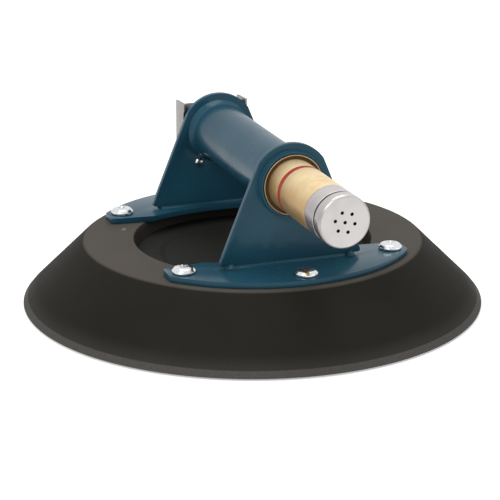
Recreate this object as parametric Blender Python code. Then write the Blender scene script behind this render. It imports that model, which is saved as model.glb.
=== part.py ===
"""Hand vacuum lifter: a rubber suction cup under a steel handle that holds a plunger pump.

The cup's axis is +Z and its sealing face lies at z = 0. The handle tube runs along Y, with the
pump plunger at the front (-Y) and the valve block with its release lever at the rear (+Y).
All lengths are in metres.
"""
import math

import bmesh
import bpy
from mathutils import Vector

MM = 0.001
GAP = 0.3 * MM

# Fits
SLACK = 0.15 * MM
SLIDE_GAP = 0.3 * MM
HOLE_END = 1.0 * MM
EDGE_ROUND = 0.4 * MM

# Rubber cup
CUP_RADIUS = 127.0 * MM
CUP_HEIGHT = 35.0 * MM
LIP_HEIGHT = 4.6 * MM
LIP_ROUND = 0.7 * MM
SKIRT_WIDTH = 10.7 * MM
SKIRT_HEIGHT = 11.0 * MM
CONE_WIDTH = 23.1 * MM
SHOULDER_ROUND = 1.6 * MM
RING_WIDTH = 27.9 * MM
RING_WALL_TAPER = 1.5 * MM
SEAL_LAND_WIDTH = 9.0 * MM
CAVITY_HEIGHT = 12.0 * MM
CAVITY_STEP_WIDTH = 4.0 * MM
CAVITY_STEP_HEIGHT = 2.6 * MM
CAVITY_SLOPE_WIDTH = 52.0 * MM
RIB_INSETS = (26.0 * MM, 44.0 * MM)
RIB_HALF_WIDTH = 1.3 * MM
RIB_HEIGHT = 1.6 * MM
NIB_RADIUS = 1.3 * MM
NIB_HEIGHT = 0.7 * MM
NIB_INSET = 7.1 * MM
NIB_ANGLE = math.radians(151.3)

# Steel plate held in the cup
PLATE_GRIP = 20.7 * MM
PLATE_THICKNESS = 3.0 * MM
PLATE_DEPTH = 8.0 * MM
DISH_RIM = 34.4 * MM
DISH_SLOPE = 3.0 * MM
DISH_STEP = 1.2 * MM

# Handle tube
TUBE_AXIS_ABOVE_CUP = 46.2 * MM
TUBE_RADIUS = 15.9 * MM
TUBE_WALL = 1.0 * MM
SEAT_SWELL = 0.7 * MM
COLLAR_STEP = 1.4 * MM
COLLAR_LENGTH = 1.3 * MM
MOUTH_COLLAR_LENGTH = 2.7 * MM
COLLAR_WELD = 0.9 * MM
FLANGE_STEP = 1.8 * MM
FLANGE_LENGTH = 0.9 * MM
FLARE_LENGTH = 8.0 * MM
FLARE_POWER = 1.7
FLARE_STEPS = 4

# Brackets: a crescent foot with an upright ear
EAR_SET_BACK = 30.4 * MM
EAR_THICKNESS = 3.1 * MM
EAR_TOP_MARGIN = 3.5 * MM
EAR_BASE_HALF_WIDTH = 40.0 * MM
FOOT_THICKNESS = 3.0 * MM
FOOT_MARGIN = 4.2 * MM
FOOT_TAB_INSET = 12.0 * MM
FOOT_CORNER = 2.2 * MM
SCALLOP_HALF_WIDTH = 43.0 * MM
SCALLOP_END_INSET = 15.0 * MM
SCALLOP_MIDDLE_INSET = 6.6 * MM
BEND_RADIUS = 2.6 * MM
WELD_LEG = 1.6 * MM
FILLET_SINK = 0.6 * MM
RELIEF_LENGTH = 5.2 * MM
RELIEF_HEIGHT = 1.5 * MM
EAR_CORNER = 2.6 * MM
DIMPLE_INSET = 6.6 * MM
DIMPLE_RADIUS = 2.4 * MM
DIMPLE_SHIFT = 0.35 * MM

# Foot screws
SCREW_EDGE_DISTANCE = 8.7 * MM
SCREW_HEAD_RADIUS = 6.3 * MM
SCREW_HEAD_HEIGHT = 3.2 * MM
SCREW_RADIUS = 2.4 * MM
SCREW_LENGTH = 15.5 * MM
SCREW_POINT = 0.7 * MM

# Pump cylinder
MOUTH_STEP = 1.3 * MM
MOUTH_SHOULDER = 0.6 * MM
MOUTH_LENGTH = 2.1 * MM
MOUTH_WALL = 0.6 * MM
MOUTH_DEPTH = 1.6 * MM
WIPER_LENGTH = 0.75 * MM
CYLINDER_WALL = 0.55 * MM

# Plunger
PLUNGER_WALL = 1.05 * MM
PLUNGER_DEPTH = 13.4 * MM
PISTON_LENGTH = 4.0 * MM
PISTON_RIM = 0.9 * MM
PISTON_GROOVE_DEPTH = 2.6 * MM
PISTON_SPIGOT_LENGTH = 8.0 * MM
PISTON_PORT_RADIUS = 2.4 * MM
SEAL_LIP_CUT = 0.5 * MM
SEAL_LIP_GAP = 0.1 * MM
VALVE_DISC_THICKNESS = 0.9 * MM
BRASS_REACH = 49.0 * MM
PLUNGER_COLLAR_LENGTH = 11.7 * MM
NECK_LENGTH = 0.9 * MM
CAP_LENGTH = 7.0 * MM
CAP_PROUD = 0.05 * MM
CAP_CHAMFER = 1.3 * MM
CAP_FACE_THICKNESS = 2.4 * MM
CAP_SPIGOT_STEP = 4.05 * MM
CAP_WALL = 1.8 * MM
NECK_DEPTH = 0.95 * MM
FILTER_STEP = 1.0 * MM
AIR_HOLE_RADIUS = 0.8 * MM
AIR_HOLE_CIRCLE = 5.3 * MM
AIR_HOLE_COUNT = 6
AIR_HOLE_TURN = math.radians(-12.5)
RED_LINE_REACH = 13.8 * MM
RED_LINE_WIDTH = 3.7 * MM
RED_LINE_DEPTH = 0.45 * MM
RED_LINE_PROUD = 0.03 * MM

# Return spring
SPRING_INSET = 2.65 * MM
SPRING_WIRE = 0.75 * MM
SPRING_TURNS = 9

# Valve block behind the rear ear, with depths from its front face
BLOCK_HALF_WIDTH = 17.4 * MM
BLOCK_TOP_ABOVE_AXIS = 13.9 * MM
BLOCK_BOTTOM_BELOW_AXIS = 21.2 * MM
BLOCK_LENGTH = 9.5 * MM
BLOCK_ROUND = 2.4 * MM
SPIGOT_LENGTH = 26.2 * MM
CHAMBER_RADIUS = 5.0 * MM
CHAMBER_DEPTH = 18.0 * MM
THROAT_RADIUS = 3.0 * MM
SEAT_POCKET_DEPTH = 9.0 * MM
SEAT_RECESS = 1.5 * MM
SEAT_PORT_RADIUS = 1.5 * MM
OUTLET_DEPTH = 2.5 * MM
OUTLET_RADIUS = 1.2 * MM
STUB_RADIUS = 2.0 * MM
STUB_LENGTH = 3.6 * MM
BLOCK_SCREW_X = 12.3 * MM
BLOCK_SCREW_RADIUS = 1.7 * MM
BLOCK_SCREW_HEAD_RADIUS = 2.4 * MM
BLOCK_SCREW_HEAD_HEIGHT = 1.5 * MM
BLOCK_SCREW_GRIP = 3.6 * MM

# Release valve
BUSH_RECESS = 1.5 * MM
BUSH_LENGTH = 3.6 * MM
STEM_RADIUS = 1.8 * MM
STEM_HEAD_RADIUS = 4.2 * MM
STEM_HEAD_LENGTH = 1.4 * MM
STEM_SEAL_LENGTH = 0.8 * MM
STEM_BUTTON_RADIUS = 3.5 * MM
STEM_BUTTON_LENGTH = 1.2 * MM
RELEASE_SPRING_RADIUS = 3.8 * MM
RELEASE_SPRING_WIRE = 0.35 * MM
RELEASE_SPRING_TURNS = 5

# Release lever
LEVER_SHEET = 1.1 * MM
LEVER_SIDE_GAP = 0.5 * MM
LEVER_TRAVEL_GAP = 4.1 * MM
PIVOT_DEPTH = 6.0 * MM
PIVOT_BELOW_AXIS = 15.2 * MM
PIVOT_RADIUS = 1.6 * MM
PIVOT_HEAD_RADIUS = 3.0 * MM
PIVOT_HEAD_HEIGHT = 1.2 * MM
PIVOT_GRIP = 4.3 * MM
LEVER_TOP_ABOVE_AXIS = 15.1 * MM
LEVER_BOTTOM_BELOW_AXIS = 20.8 * MM
LEVER_TOP_RISE = 0.8 * MM
LEVER_TIP_HEIGHT = 4.7 * MM
LEVER_RELIEF = 1.2 * MM
LEVER_CORNER = 3.0 * MM
SCOOP_ABOVE_AXIS = 6.5 * MM
SCOOP_RADIUS = 30.0 * MM
SCOOP_HALF_WIDTH = 14.0 * MM

# Air line from the valve block to the cup
NIPPLE_SCREW_GAP = 0.2 * MM
HEX_RADIUS = 4.8 * MM
HEX_HEIGHT = 3.6 * MM
NIPPLE_SHANK_RADIUS = 2.6 * MM
NIPPLE_BELOW_PLATE = 2.0 * MM
HOSE_WALL = 1.2 * MM
HOSE_STEPS = 7
HOSE_SIDES = 10

# Facets
CUP_STEPS = 48
PLATE_STEPS = 40
TUBE_STEPS = 26
SMALL_STEPS = 16
FINE_STEPS = 12

AXIS_HEIGHT = CUP_HEIGHT + TUBE_AXIS_ABOVE_CUP
SKIRT_RADIUS = CUP_RADIUS - SKIRT_WIDTH
SHOULDER_RADIUS = SKIRT_RADIUS - CONE_WIDTH
RING_INNER_RADIUS = SHOULDER_RADIUS - RING_WIDTH
LAND_RADIUS = CUP_RADIUS - SEAL_LAND_WIDTH
PLATE_RADIUS = RING_INNER_RADIUS + PLATE_GRIP
PLATE_TOP = CUP_HEIGHT - PLATE_DEPTH
PLATE_BOTTOM = PLATE_TOP - PLATE_THICKNESS
FOOT_BOTTOM = CUP_HEIGHT + GAP
FOOT_TOP = FOOT_BOTTOM + FOOT_THICKNESS
FOOT_RADIUS = SHOULDER_RADIUS - FOOT_MARGIN
EAR_FACE_Y = FOOT_RADIUS - EAR_SET_BACK
FOOT_HALF_WIDTH = math.sqrt(FOOT_RADIUS ** 2 - EAR_FACE_Y ** 2)
FOOT_TAB_Y = EAR_FACE_Y - FOOT_TAB_INSET
SIDE_SCREW_X = FOOT_HALF_WIDTH - SCREW_EDGE_DISTANCE
SIDE_SCREW_Y = FOOT_TAB_Y + SCREW_EDGE_DISTANCE
MIDDLE_SCREW_Y = FOOT_RADIUS - SCREW_EDGE_DISTANCE
EAR_INNER_Y = EAR_FACE_Y - EAR_THICKNESS
TUBE_BORE = TUBE_RADIUS - TUBE_WALL
TUBE_SEAT = TUBE_RADIUS + SEAT_SWELL
COLLAR_RADIUS = TUBE_SEAT + COLLAR_STEP
FLANGE_RADIUS = TUBE_SEAT + FLANGE_STEP
TUBE_FRONT = EAR_FACE_Y + GAP + MOUTH_COLLAR_LENGTH
TUBE_REAR = EAR_FACE_Y + GAP + COLLAR_LENGTH
EAR_TOP_RADIUS = COLLAR_RADIUS + EAR_TOP_MARGIN
MOUTH_RADIUS = TUBE_BORE + MOUTH_STEP
MOUTH_BACK = EAR_FACE_Y + 2 * GAP + MOUTH_SHOULDER
MOUTH_FACE = MOUTH_BACK + MOUTH_LENGTH
CYLINDER_RADIUS = TUBE_BORE - GAP
CYLINDER_BORE = CYLINDER_RADIUS - CYLINDER_WALL
PLUNGER_RADIUS = CYLINDER_BORE - SLIDE_GAP
PLUNGER_BORE = PLUNGER_RADIUS - PLUNGER_WALL
PLUNGER_REAR = MOUTH_FACE - PLUNGER_DEPTH
PISTON_BACK = PLUNGER_REAR - PISTON_LENGTH
BRASS_END = MOUTH_FACE + BRASS_REACH
RED_LINE_STATION = MOUTH_FACE + RED_LINE_REACH
COLLAR_START = BRASS_END + GAP
COLLAR_END = BRASS_END + PLUNGER_COLLAR_LENGTH
CAP_BACK = COLLAR_END + NECK_LENGTH
CAP_FACE = CAP_BACK + CAP_LENGTH
CAP_FLOOR = CAP_FACE - CAP_FACE_THICKNESS
CAP_SPIGOT = PLUNGER_RADIUS - CAP_SPIGOT_STEP
CAP_BORE = CAP_SPIGOT - CAP_WALL
BLOCK_FRONT = -TUBE_REAR - GAP
SPIGOT_FRONT = BLOCK_FRONT + SPIGOT_LENGTH
CYLINDER_REAR = SPIGOT_FRONT + GAP
BLOCK_REAR = BLOCK_FRONT - BLOCK_LENGTH
BLOCK_TOP = AXIS_HEIGHT + BLOCK_TOP_ABOVE_AXIS
BLOCK_BOTTOM = AXIS_HEIGHT - BLOCK_BOTTOM_BELOW_AXIS
CHAMBER_FRONT = BLOCK_REAR + CHAMBER_DEPTH
OUTLET_STATION = BLOCK_FRONT - OUTLET_DEPTH
BLOCK_SCREW_CIRCLE = FLANGE_RADIUS + BLOCK_SCREW_HEAD_RADIUS + GAP
BLOCK_SCREW_DROP = math.sqrt(BLOCK_SCREW_CIRCLE ** 2 - BLOCK_SCREW_X ** 2)
BUSH_REAR = BLOCK_REAR + BUSH_RECESS
BUSH_FRONT = BUSH_REAR + BUSH_LENGTH
STEM_SEAL_REAR = BUSH_FRONT + GAP
STEM_SEAL_FRONT = STEM_SEAL_REAR + STEM_SEAL_LENGTH
STEM_HEAD_REAR = STEM_SEAL_FRONT + SLACK
STEM_HEAD_FRONT = STEM_HEAD_REAR + STEM_HEAD_LENGTH
LEVER_HALF_WIDTH = BLOCK_HALF_WIDTH + LEVER_SIDE_GAP + LEVER_SHEET
WEB_INNER = BLOCK_REAR - LEVER_TRAVEL_GAP
WEB_OUTER = WEB_INNER - LEVER_SHEET
STEM_END = WEB_INNER + GAP
PIVOT_STATION = BLOCK_FRONT - PIVOT_DEPTH
PIVOT_HEIGHT = AXIS_HEIGHT - PIVOT_BELOW_AXIS
LEVER_BOTTOM = AXIS_HEIGHT - LEVER_BOTTOM_BELOW_AXIS
NIPPLE_Y = MIDDLE_SCREW_Y - SCREW_HEAD_RADIUS - NIPPLE_SCREW_GAP - HEX_RADIUS


def clear_scene():
    """Removes every object, so that the model starts from nothing."""
    for thing in list(bpy.data.objects):
        bpy.data.objects.remove(thing)


def finish(name, colour, roughness, metallic):
    """Returns a Principled material of one colour."""
    made = bpy.data.materials.get(name)
    if made:
        return made
    made = bpy.data.materials.new(name)
    made.use_nodes = True
    shader = made.node_tree.nodes["Principled BSDF"]
    shader.inputs["Base Color"].default_value = (*colour, 1.0)
    shader.inputs["Roughness"].default_value = roughness
    shader.inputs["Metallic"].default_value = metallic
    made.diffuse_color = (*colour, 1.0)
    return made


def black_rubber():
    return finish("black_rubber", (0.028, 0.027, 0.024), 0.55, 0.0)


def blue_paint():
    return finish("blue_paint", (0.030, 0.085, 0.130), 0.35, 0.2)


def dark_plate():
    return finish("dark_plate", (0.018, 0.018, 0.020), 0.5, 0.3)


def brass():
    return finish("brass", (0.620, 0.430, 0.190), 0.3, 1.0)


def aluminium():
    return finish("aluminium", (0.780, 0.770, 0.760), 0.35, 1.0)


def stainless():
    return finish("stainless", (0.620, 0.600, 0.580), 0.3, 1.0)


def zinc_steel():
    return finish("zinc_steel", (0.700, 0.700, 0.700), 0.25, 1.0)


def red_paint():
    return finish("red_paint", (0.450, 0.045, 0.035), 0.4, 0.0)


def black_plastic():
    return finish("black_plastic", (0.020, 0.020, 0.022), 0.45, 0.0)


def white_felt():
    return finish("white_felt", (0.700, 0.690, 0.650), 0.9, 0.0)


def new_object(name, mesh, material):
    """Links a mesh into the scene as a named object of one material."""
    made = bpy.data.objects.new(name, mesh)
    bpy.context.scene.collection.objects.link(made)
    if material is not None:
        mesh.materials.append(material)
    return made


def mesh_from(bm, name):
    """Turns a bmesh into a mesh, with round surfaces smooth and edges sharp."""
    mesh = bpy.data.meshes.new(name)
    bm.to_mesh(mesh)
    bm.free()
    mesh.shade_smooth()
    mesh.set_sharp_from_angle(angle=math.radians(30))
    return mesh


def empty(name, location, rotation=(0.0, 0.0, 0.0)):
    """Adds an empty that holds the pieces of one axis."""
    made = bpy.data.objects.new(name, None)
    bpy.context.scene.collection.objects.link(made)
    made.location = location
    made.rotation_euler = rotation
    return made


def wound(points):
    """Orders a closed (radius, height) loop so that its outer side runs downwards."""
    doubled = 0.0
    for (r1, z1), (r2, z2) in zip(points, points[1:] + points[:1]):
        doubled += r1 * z2 - r2 * z1
    return points if doubled < 0 else points[::-1]


def revolve(name, points, material, steps, closed=True):
    """Turns a profile of (radius, height) points about the object's own Z axis.

    A closed profile makes a ring. An open one starts and ends on the axis, top first.
    """
    bm = bmesh.new()
    loop = wound(points) if closed else points
    corners = [bm.verts.new((radius, 0.0, height)) for radius, height in loop]
    for first, second in zip(corners, corners[1:]):
        bm.edges.new((first, second))
    if closed:
        bm.edges.new((corners[-1], corners[0]))
    mesh = bpy.data.meshes.new(name)
    bm.to_mesh(mesh)
    bm.free()
    made = new_object(name, mesh, material)
    turn = made.modifiers.new("turn", "SCREW")
    turn.axis = "Z"
    turn.angle = math.tau
    turn.steps = steps
    turn.render_steps = steps
    turn.use_merge_vertices = True
    turn.merge_threshold = 0.00001
    turn.use_smooth_shade = True
    return made


def extrude(name, outline, low, high, plane, material):
    """Extrudes a closed outline between two heights, along the axis that the plane lacks."""
    places = {
        "xy": lambda a, b, h: (a, b, h),
        "xz": lambda a, b, h: (a, h, b),
        "yz": lambda a, b, h: (h, a, b),
    }
    place = places[plane]
    bm = bmesh.new()
    face = bm.faces.new([bm.verts.new(place(a, b, low)) for a, b in outline])
    lifted = bmesh.ops.extrude_face_region(bm, geom=[face])
    moved = [item for item in lifted["geom"] if isinstance(item, bmesh.types.BMVert)]
    shift = Vector(place(0.0, 0.0, high)) - Vector(place(0.0, 0.0, low))
    bmesh.ops.translate(bm, verts=moved, vec=shift)
    bmesh.ops.recalc_face_normals(bm, faces=bm.faces)
    return new_object(name, mesh_from(bm, name), material)


def arc(centre, radius, start, end, steps):
    """Returns points along an arc, both ends included; angles are in radians."""
    points = []
    for k in range(steps + 1):
        angle = start + (end - start) * k / steps
        points.append((centre[0] + radius * math.cos(angle), centre[1] + radius * math.sin(angle)))
    return points


def eased_corner(before, corner, after, reach):
    """Returns four points that round a corner, from a reach before it to a reach after it."""
    corner = Vector(corner)
    start = corner + (Vector(before) - corner).normalized() * reach
    end = corner + (Vector(after) - corner).normalized() * reach
    points = []
    for share in (0.0, 0.33, 0.67, 1.0):
        spot = start.lerp(corner, share).lerp(corner.lerp(end, share), share)
        points.append((spot.x, spot.y))
    return points


def hide_as_tool(thing):
    """Marks a cutter or a joined piece as a helper, which isn't part of the model."""
    thing.hide_render = True
    thing.display_type = "WIRE"


def combine(target, tool, operation):
    """Adds an exact Boolean of one object with a helper."""
    hide_as_tool(tool)
    step = target.modifiers.new(f"{operation.lower()}_{tool.name}", "BOOLEAN")
    step.operation = operation
    step.solver = "EXACT"
    step.object = tool


def cut(target, tool):
    combine(target, tool, "DIFFERENCE")


def join(target, tool):
    combine(target, tool, "UNION")


def round_tool(name, radius, centre, direction, low, high, steps=FINE_STEPS):
    """Makes a round helper along X, Y or Z between two coordinates of that axis."""
    twist = 0.5 * math.pi / steps
    turned = {"x": (0.0, math.pi / 2, 0.0), "y": (-math.pi / 2, 0.0, 0.0), "z": (0.0, 0.0, twist)}
    bm = bmesh.new()
    length = high - low
    bmesh.ops.create_cone(bm, cap_ends=True, segments=steps, radius1=radius, radius2=radius, depth=length)
    tool = new_object(name, mesh_from(bm, name), None)
    tool.rotation_euler = turned[direction]
    middle = (low + high) / 2
    places = {
        "x": (middle, centre[0], centre[1]),
        "y": (centre[0], middle, centre[1]),
        "z": (centre[0], centre[1], middle),
    }
    tool.location = places[direction]
    hide_as_tool(tool)
    return tool


def bored_disc(bore, radius, low, high):
    """Returns the profile of a plain ring between two stations."""
    return [(bore, high), (radius, high), (radius, low), (bore, low)]


def solid_disc(radius, low, high):
    """Returns the open profile of a plain disc between two stations."""
    return [(0.0, high), (radius, high), (radius, low), (0.0, low)]


def screw_places():
    """Returns the name and place of each foot screw."""
    places = []
    for side, sign in (("front", -1), ("rear", 1)):
        places.append((f"{side}_left", -SIDE_SCREW_X, sign * SIDE_SCREW_Y))
        places.append((f"{side}_centre", 0.0, sign * MIDDLE_SCREW_Y))
        places.append((f"{side}_right", SIDE_SCREW_X, sign * SIDE_SCREW_Y))
    return places


def drill_for_screws(target, low, high, side=""):
    """Drills the foot screws' clearance holes, and at the rear the hole for the air nipple."""
    for name, x, y in screw_places():
        if name.startswith(side):
            tool_name = f"{target.name}_hole_{name}"
            cut(target, round_tool(tool_name, SCREW_RADIUS + GAP, (x, y), "z", low, high))
    if side != "front":
        radius = NIPPLE_SHANK_RADIUS + GAP
        tool = round_tool(f"{target.name}_port", radius, (0.0, NIPPLE_Y), "z", low, high)
        cut(target, tool)


def cavity_profile():
    """Returns the underside of the cup from its sealing land to the axis, with two ribs."""
    outer = LAND_RADIUS - CAVITY_STEP_WIDTH
    inner = outer - CAVITY_SLOPE_WIDTH
    points = [(LAND_RADIUS, 0.0), (outer, CAVITY_STEP_HEIGHT)]
    for inset in RIB_INSETS:
        for shift, drop in ((1, 0), (0, 1), (-1, 0)):
            radius = SKIRT_RADIUS - inset + shift * RIB_HALF_WIDTH
            share = (outer - radius) / (outer - inner)
            ceiling = CAVITY_STEP_HEIGHT + share * (CAVITY_HEIGHT - CAVITY_STEP_HEIGHT)
            points.append((radius, ceiling - drop * RIB_HEIGHT))
    return points + [(inner, CAVITY_HEIGHT), (0.0, CAVITY_HEIGHT)]


def build_cup():
    """The moulded rubber cup: flat ring, cone, flared skirt and thick lip over a shallow cavity."""
    slot = PLATE_RADIUS + GAP
    wall_foot = RING_INNER_RADIUS - RING_WALL_TAPER
    flare = SKIRT_HEIGHT - LIP_HEIGHT
    profile = [
        (0.0, PLATE_BOTTOM - GAP), (slot, PLATE_BOTTOM - GAP), (slot, PLATE_TOP + GAP),
        (wall_foot, PLATE_TOP + GAP),
        (RING_INNER_RADIUS - LIP_ROUND, CUP_HEIGHT - LIP_ROUND), (RING_INNER_RADIUS, CUP_HEIGHT),
        (SHOULDER_RADIUS - SHOULDER_ROUND, CUP_HEIGHT),
        (SHOULDER_RADIUS - 0.45 * SHOULDER_ROUND, CUP_HEIGHT - 0.2 * SHOULDER_ROUND),
        (SHOULDER_RADIUS, CUP_HEIGHT - 0.75 * SHOULDER_ROUND),
        (SKIRT_RADIUS - 0.1 * CONE_WIDTH, SKIRT_HEIGHT + 0.36 * flare),
        (SKIRT_RADIUS, SKIRT_HEIGHT),
        (SKIRT_RADIUS + 0.35 * SKIRT_WIDTH, LIP_HEIGHT + 0.52 * flare),
        (CUP_RADIUS - LIP_ROUND, LIP_HEIGHT + 0.02 * flare),
        (CUP_RADIUS, LIP_HEIGHT - LIP_ROUND),
        (CUP_RADIUS - 0.5 * LIP_ROUND, LIP_ROUND),
        (CUP_RADIUS - 1.5 * LIP_ROUND, 0.0),
    ]
    cup = revolve("vacuum_cup", profile + cavity_profile(), black_rubber(), CUP_STEPS, closed=False)
    for name, x, y in screw_places():
        depth = FOOT_TOP - SCREW_LENGTH - HOLE_END
        tool = round_tool(f"cup_hole_{name}", SCREW_RADIUS + GAP, (x, y), "z", depth, CUP_HEIGHT + HOLE_END)
        cut(cup, tool)
    radius = NIPPLE_SHANK_RADIUS + GAP
    cut(cup, round_tool("cup_port", radius, (0.0, NIPPLE_Y), "z", -HOLE_END, CUP_HEIGHT + HOLE_END))
    reach = RING_INNER_RADIUS + NIB_INSET
    nib = (reach * math.cos(NIB_ANGLE), reach * math.sin(NIB_ANGLE))
    tool = round_tool("cup_nib", NIB_RADIUS, nib, "z", CUP_HEIGHT - NIB_HEIGHT, CUP_HEIGHT + NIB_HEIGHT)
    join(cup, tool)


def build_plate():
    """The dished steel plate that the rubber is moulded round and the screws pull on."""
    dish = PLATE_RADIUS - DISH_RIM
    profile = [
        (0.0, PLATE_TOP - DISH_STEP), (dish - DISH_SLOPE, PLATE_TOP - DISH_STEP), (dish, PLATE_TOP),
        (PLATE_RADIUS, PLATE_TOP), (PLATE_RADIUS, PLATE_BOTTOM), (0.0, PLATE_BOTTOM),
    ]
    plate = revolve("backing_plate", profile, dark_plate(), PLATE_STEPS, closed=False)
    drill_for_screws(plate, PLATE_BOTTOM - HOLE_END, PLATE_TOP + HOLE_END)


def foot_outline(side):
    """Returns the crescent foot's outline; side is -1 at the front and 1 at the rear."""
    corner = math.asin((FOOT_HALF_WIDTH - FOOT_CORNER) / FOOT_RADIUS)
    outer = arc((0.0, 0.0), FOOT_RADIUS, math.pi / 2 - corner, math.pi / 2 + corner, 24)
    middle_y = EAR_FACE_Y - SCALLOP_MIDDLE_INSET
    rise = SCALLOP_END_INSET - SCALLOP_MIDDLE_INSET
    radius = (SCALLOP_HALF_WIDTH ** 2 + rise ** 2) / (2 * rise)
    reach = math.asin(SCALLOP_HALF_WIDTH / radius)
    inner = arc((0.0, middle_y - radius), radius, math.pi / 2 + reach, math.pi / 2 - reach, 14)
    tip = (-FOOT_HALF_WIDTH, EAR_FACE_Y)
    tab = (-FOOT_HALF_WIDTH, FOOT_TAB_Y)
    left = eased_corner(outer[-1], tip, tab, FOOT_CORNER) + eased_corner(tip, tab, inner[0], FOOT_CORNER)
    right = [(-x, y) for x, y in reversed(left)]
    return [(x, side * y) for x, y in outer + left + inner + right]


def ear_outline():
    """Returns the ear's outline in X and Z: round top, straight flanks, and relieved base corners."""
    base = FOOT_TOP - FILLET_SINK
    relief = FOOT_TOP + RELIEF_HEIGHT
    reach = EAR_BASE_HALF_WIDTH - RELIEF_LENGTH
    rise = AXIS_HEIGHT - relief
    flank = math.hypot(EAR_BASE_HALF_WIDTH, rise)
    lean = math.atan2(EAR_BASE_HALF_WIDTH, rise)
    start = -math.pi / 2 + math.acos(EAR_TOP_RADIUS / flank) + lean
    top = arc((0.0, AXIS_HEIGHT), EAR_TOP_RADIUS, start, math.pi - start, 26)
    corner = eased_corner((reach, relief), (EAR_BASE_HALF_WIDTH, relief), top[0], EAR_CORNER)
    right = [(reach, base), (reach, relief)] + corner
    left = [(-x, z) for x, z in reversed(right)]
    return left + right + top


def fillet_outline(face_y, away, radius):
    """Returns a hollow fillet in Y and Z between an ear's face and the foot's top."""
    low = FOOT_TOP - FILLET_SINK
    inside = face_y - away * FILLET_SINK
    centre = (face_y + away * radius, FOOT_TOP + radius)
    hollow = arc(centre, radius, -math.pi / 2, -math.pi / 2 - away * math.pi / 2, 4)
    return [(inside, low), (centre[0], low)] + hollow + [(inside, centre[1])]


def build_bracket(end, side):
    """One steel bracket: a crescent foot and an ear, with their bend, weld and dimples."""
    bracket = extrude(f"{end}_bracket", foot_outline(side), FOOT_BOTTOM, FOOT_TOP, "xy", blue_paint())
    outer = side * EAR_FACE_Y
    inner = side * EAR_INNER_Y
    low, high = sorted((outer, inner))
    join(bracket, extrude(f"{end}_ear", ear_outline(), low, high, "xz", None))
    reach = EAR_BASE_HALF_WIDTH - RELIEF_LENGTH
    bend = fillet_outline(outer, side, BEND_RADIUS)
    join(bracket, extrude(f"{end}_bend", bend, -reach, reach, "yz", None))
    weld = fillet_outline(inner, -side, WELD_LEG)
    join(bracket, extrude(f"{end}_weld", weld, -reach, reach, "yz", None))
    for spot, sign in (("left", -1), ("right", 1)):
        bm = bmesh.new()
        bmesh.ops.create_uvsphere(bm, u_segments=12, v_segments=7, radius=DIMPLE_RADIUS)
        dimple = new_object(f"{end}_dimple_{spot}", mesh_from(bm, "dimple"), None)
        x = sign * (EAR_BASE_HALF_WIDTH - DIMPLE_INSET)
        dimple.location = (x, outer + side * DIMPLE_SHIFT, FOOT_TOP + DIMPLE_SHIFT)
        join(bracket, dimple)
    axis = (0.0, AXIS_HEIGHT)
    tool = round_tool(
        f"{end}_ear_hole", TUBE_SEAT + GAP, axis, "y", low - HOLE_END, high + HOLE_END, TUBE_STEPS
    )
    cut(bracket, tool)
    drill_for_screws(bracket, FOOT_BOTTOM - HOLE_END, FOOT_TOP + HOLE_END, end)
    return bracket


def drill_rear_ear(bracket):
    """Drills the rear ear for the two screws that hold the valve block."""
    height = AXIS_HEIGHT - BLOCK_SCREW_DROP
    for spot, sign in (("left", -1), ("right", 1)):
        tool = round_tool(
            f"rear_ear_hole_{spot}", BLOCK_SCREW_RADIUS + GAP, (sign * BLOCK_SCREW_X, height), "y",
            EAR_INNER_Y - HOLE_END, EAR_FACE_Y + HOLE_END,
        )
        cut(bracket, tool)


def domed_screw(name, head_radius, head_height, radius, length, point, material):
    """Turns a round-headed screw whose head sits on z = 0 and whose shank points down."""
    profile = [
        (0.0, head_height), (0.45 * head_radius, 0.96 * head_height),
        (0.80 * head_radius, 0.76 * head_height), (head_radius, 0.30 * head_height),
        (head_radius, 0.0), (radius, 0.0), (radius, point - length), (radius - point, -length),
        (0.0, -length),
    ]
    return revolve(name, profile, material, FINE_STEPS, closed=False)


def build_foot_screws():
    """Six pan-head screws, from the feet through the rubber into the plate."""
    for name, x, y in screw_places():
        screw = domed_screw(
            f"foot_screw_{name}", SCREW_HEAD_RADIUS, SCREW_HEAD_HEIGHT, SCREW_RADIUS,
            SCREW_LENGTH, SCREW_POINT, zinc_steel(),
        )
        screw.location = (x, y, FOOT_TOP + GAP)


def tube_end(end):
    """Returns the tube's outer side at an end: welded collar, neck in the ear, flange and flare."""
    seat = EAR_INNER_Y - GAP
    face = EAR_FACE_Y + GAP
    points = [
        (COLLAR_RADIUS - EDGE_ROUND, end), (COLLAR_RADIUS, end - EDGE_ROUND),
        (COLLAR_RADIUS + 0.35 * COLLAR_WELD, face + 0.35 * COLLAR_WELD),
        (COLLAR_RADIUS + COLLAR_WELD, face), (TUBE_SEAT, face), (TUBE_SEAT, seat),
        (FLANGE_RADIUS, seat), (FLANGE_RADIUS, seat - FLANGE_LENGTH),
    ]
    drop = FLANGE_RADIUS - TUBE_RADIUS
    run = FLARE_LENGTH - FLANGE_LENGTH
    for k in range(1, FLARE_STEPS + 1):
        share = k / FLARE_STEPS
        points.append((TUBE_RADIUS + drop * (1 - share) ** FLARE_POWER, seat - FLANGE_LENGTH - run * share))
    return points


def build_tube(pump_line):
    """The handle tube, held in both ears by its collars, with the pump's seat at the front."""
    outer = tube_end(TUBE_FRONT) + [(r, -z) for r, z in reversed(tube_end(TUBE_REAR))]
    seat = MOUTH_BACK - GAP
    bore = MOUTH_RADIUS + GAP
    inner = [(TUBE_BORE, -TUBE_REAR), (TUBE_BORE, seat), (bore, seat), (bore, TUBE_FRONT)]
    revolve("barrel_tube", outer + inner, blue_paint(), TUBE_STEPS).parent = pump_line


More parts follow.
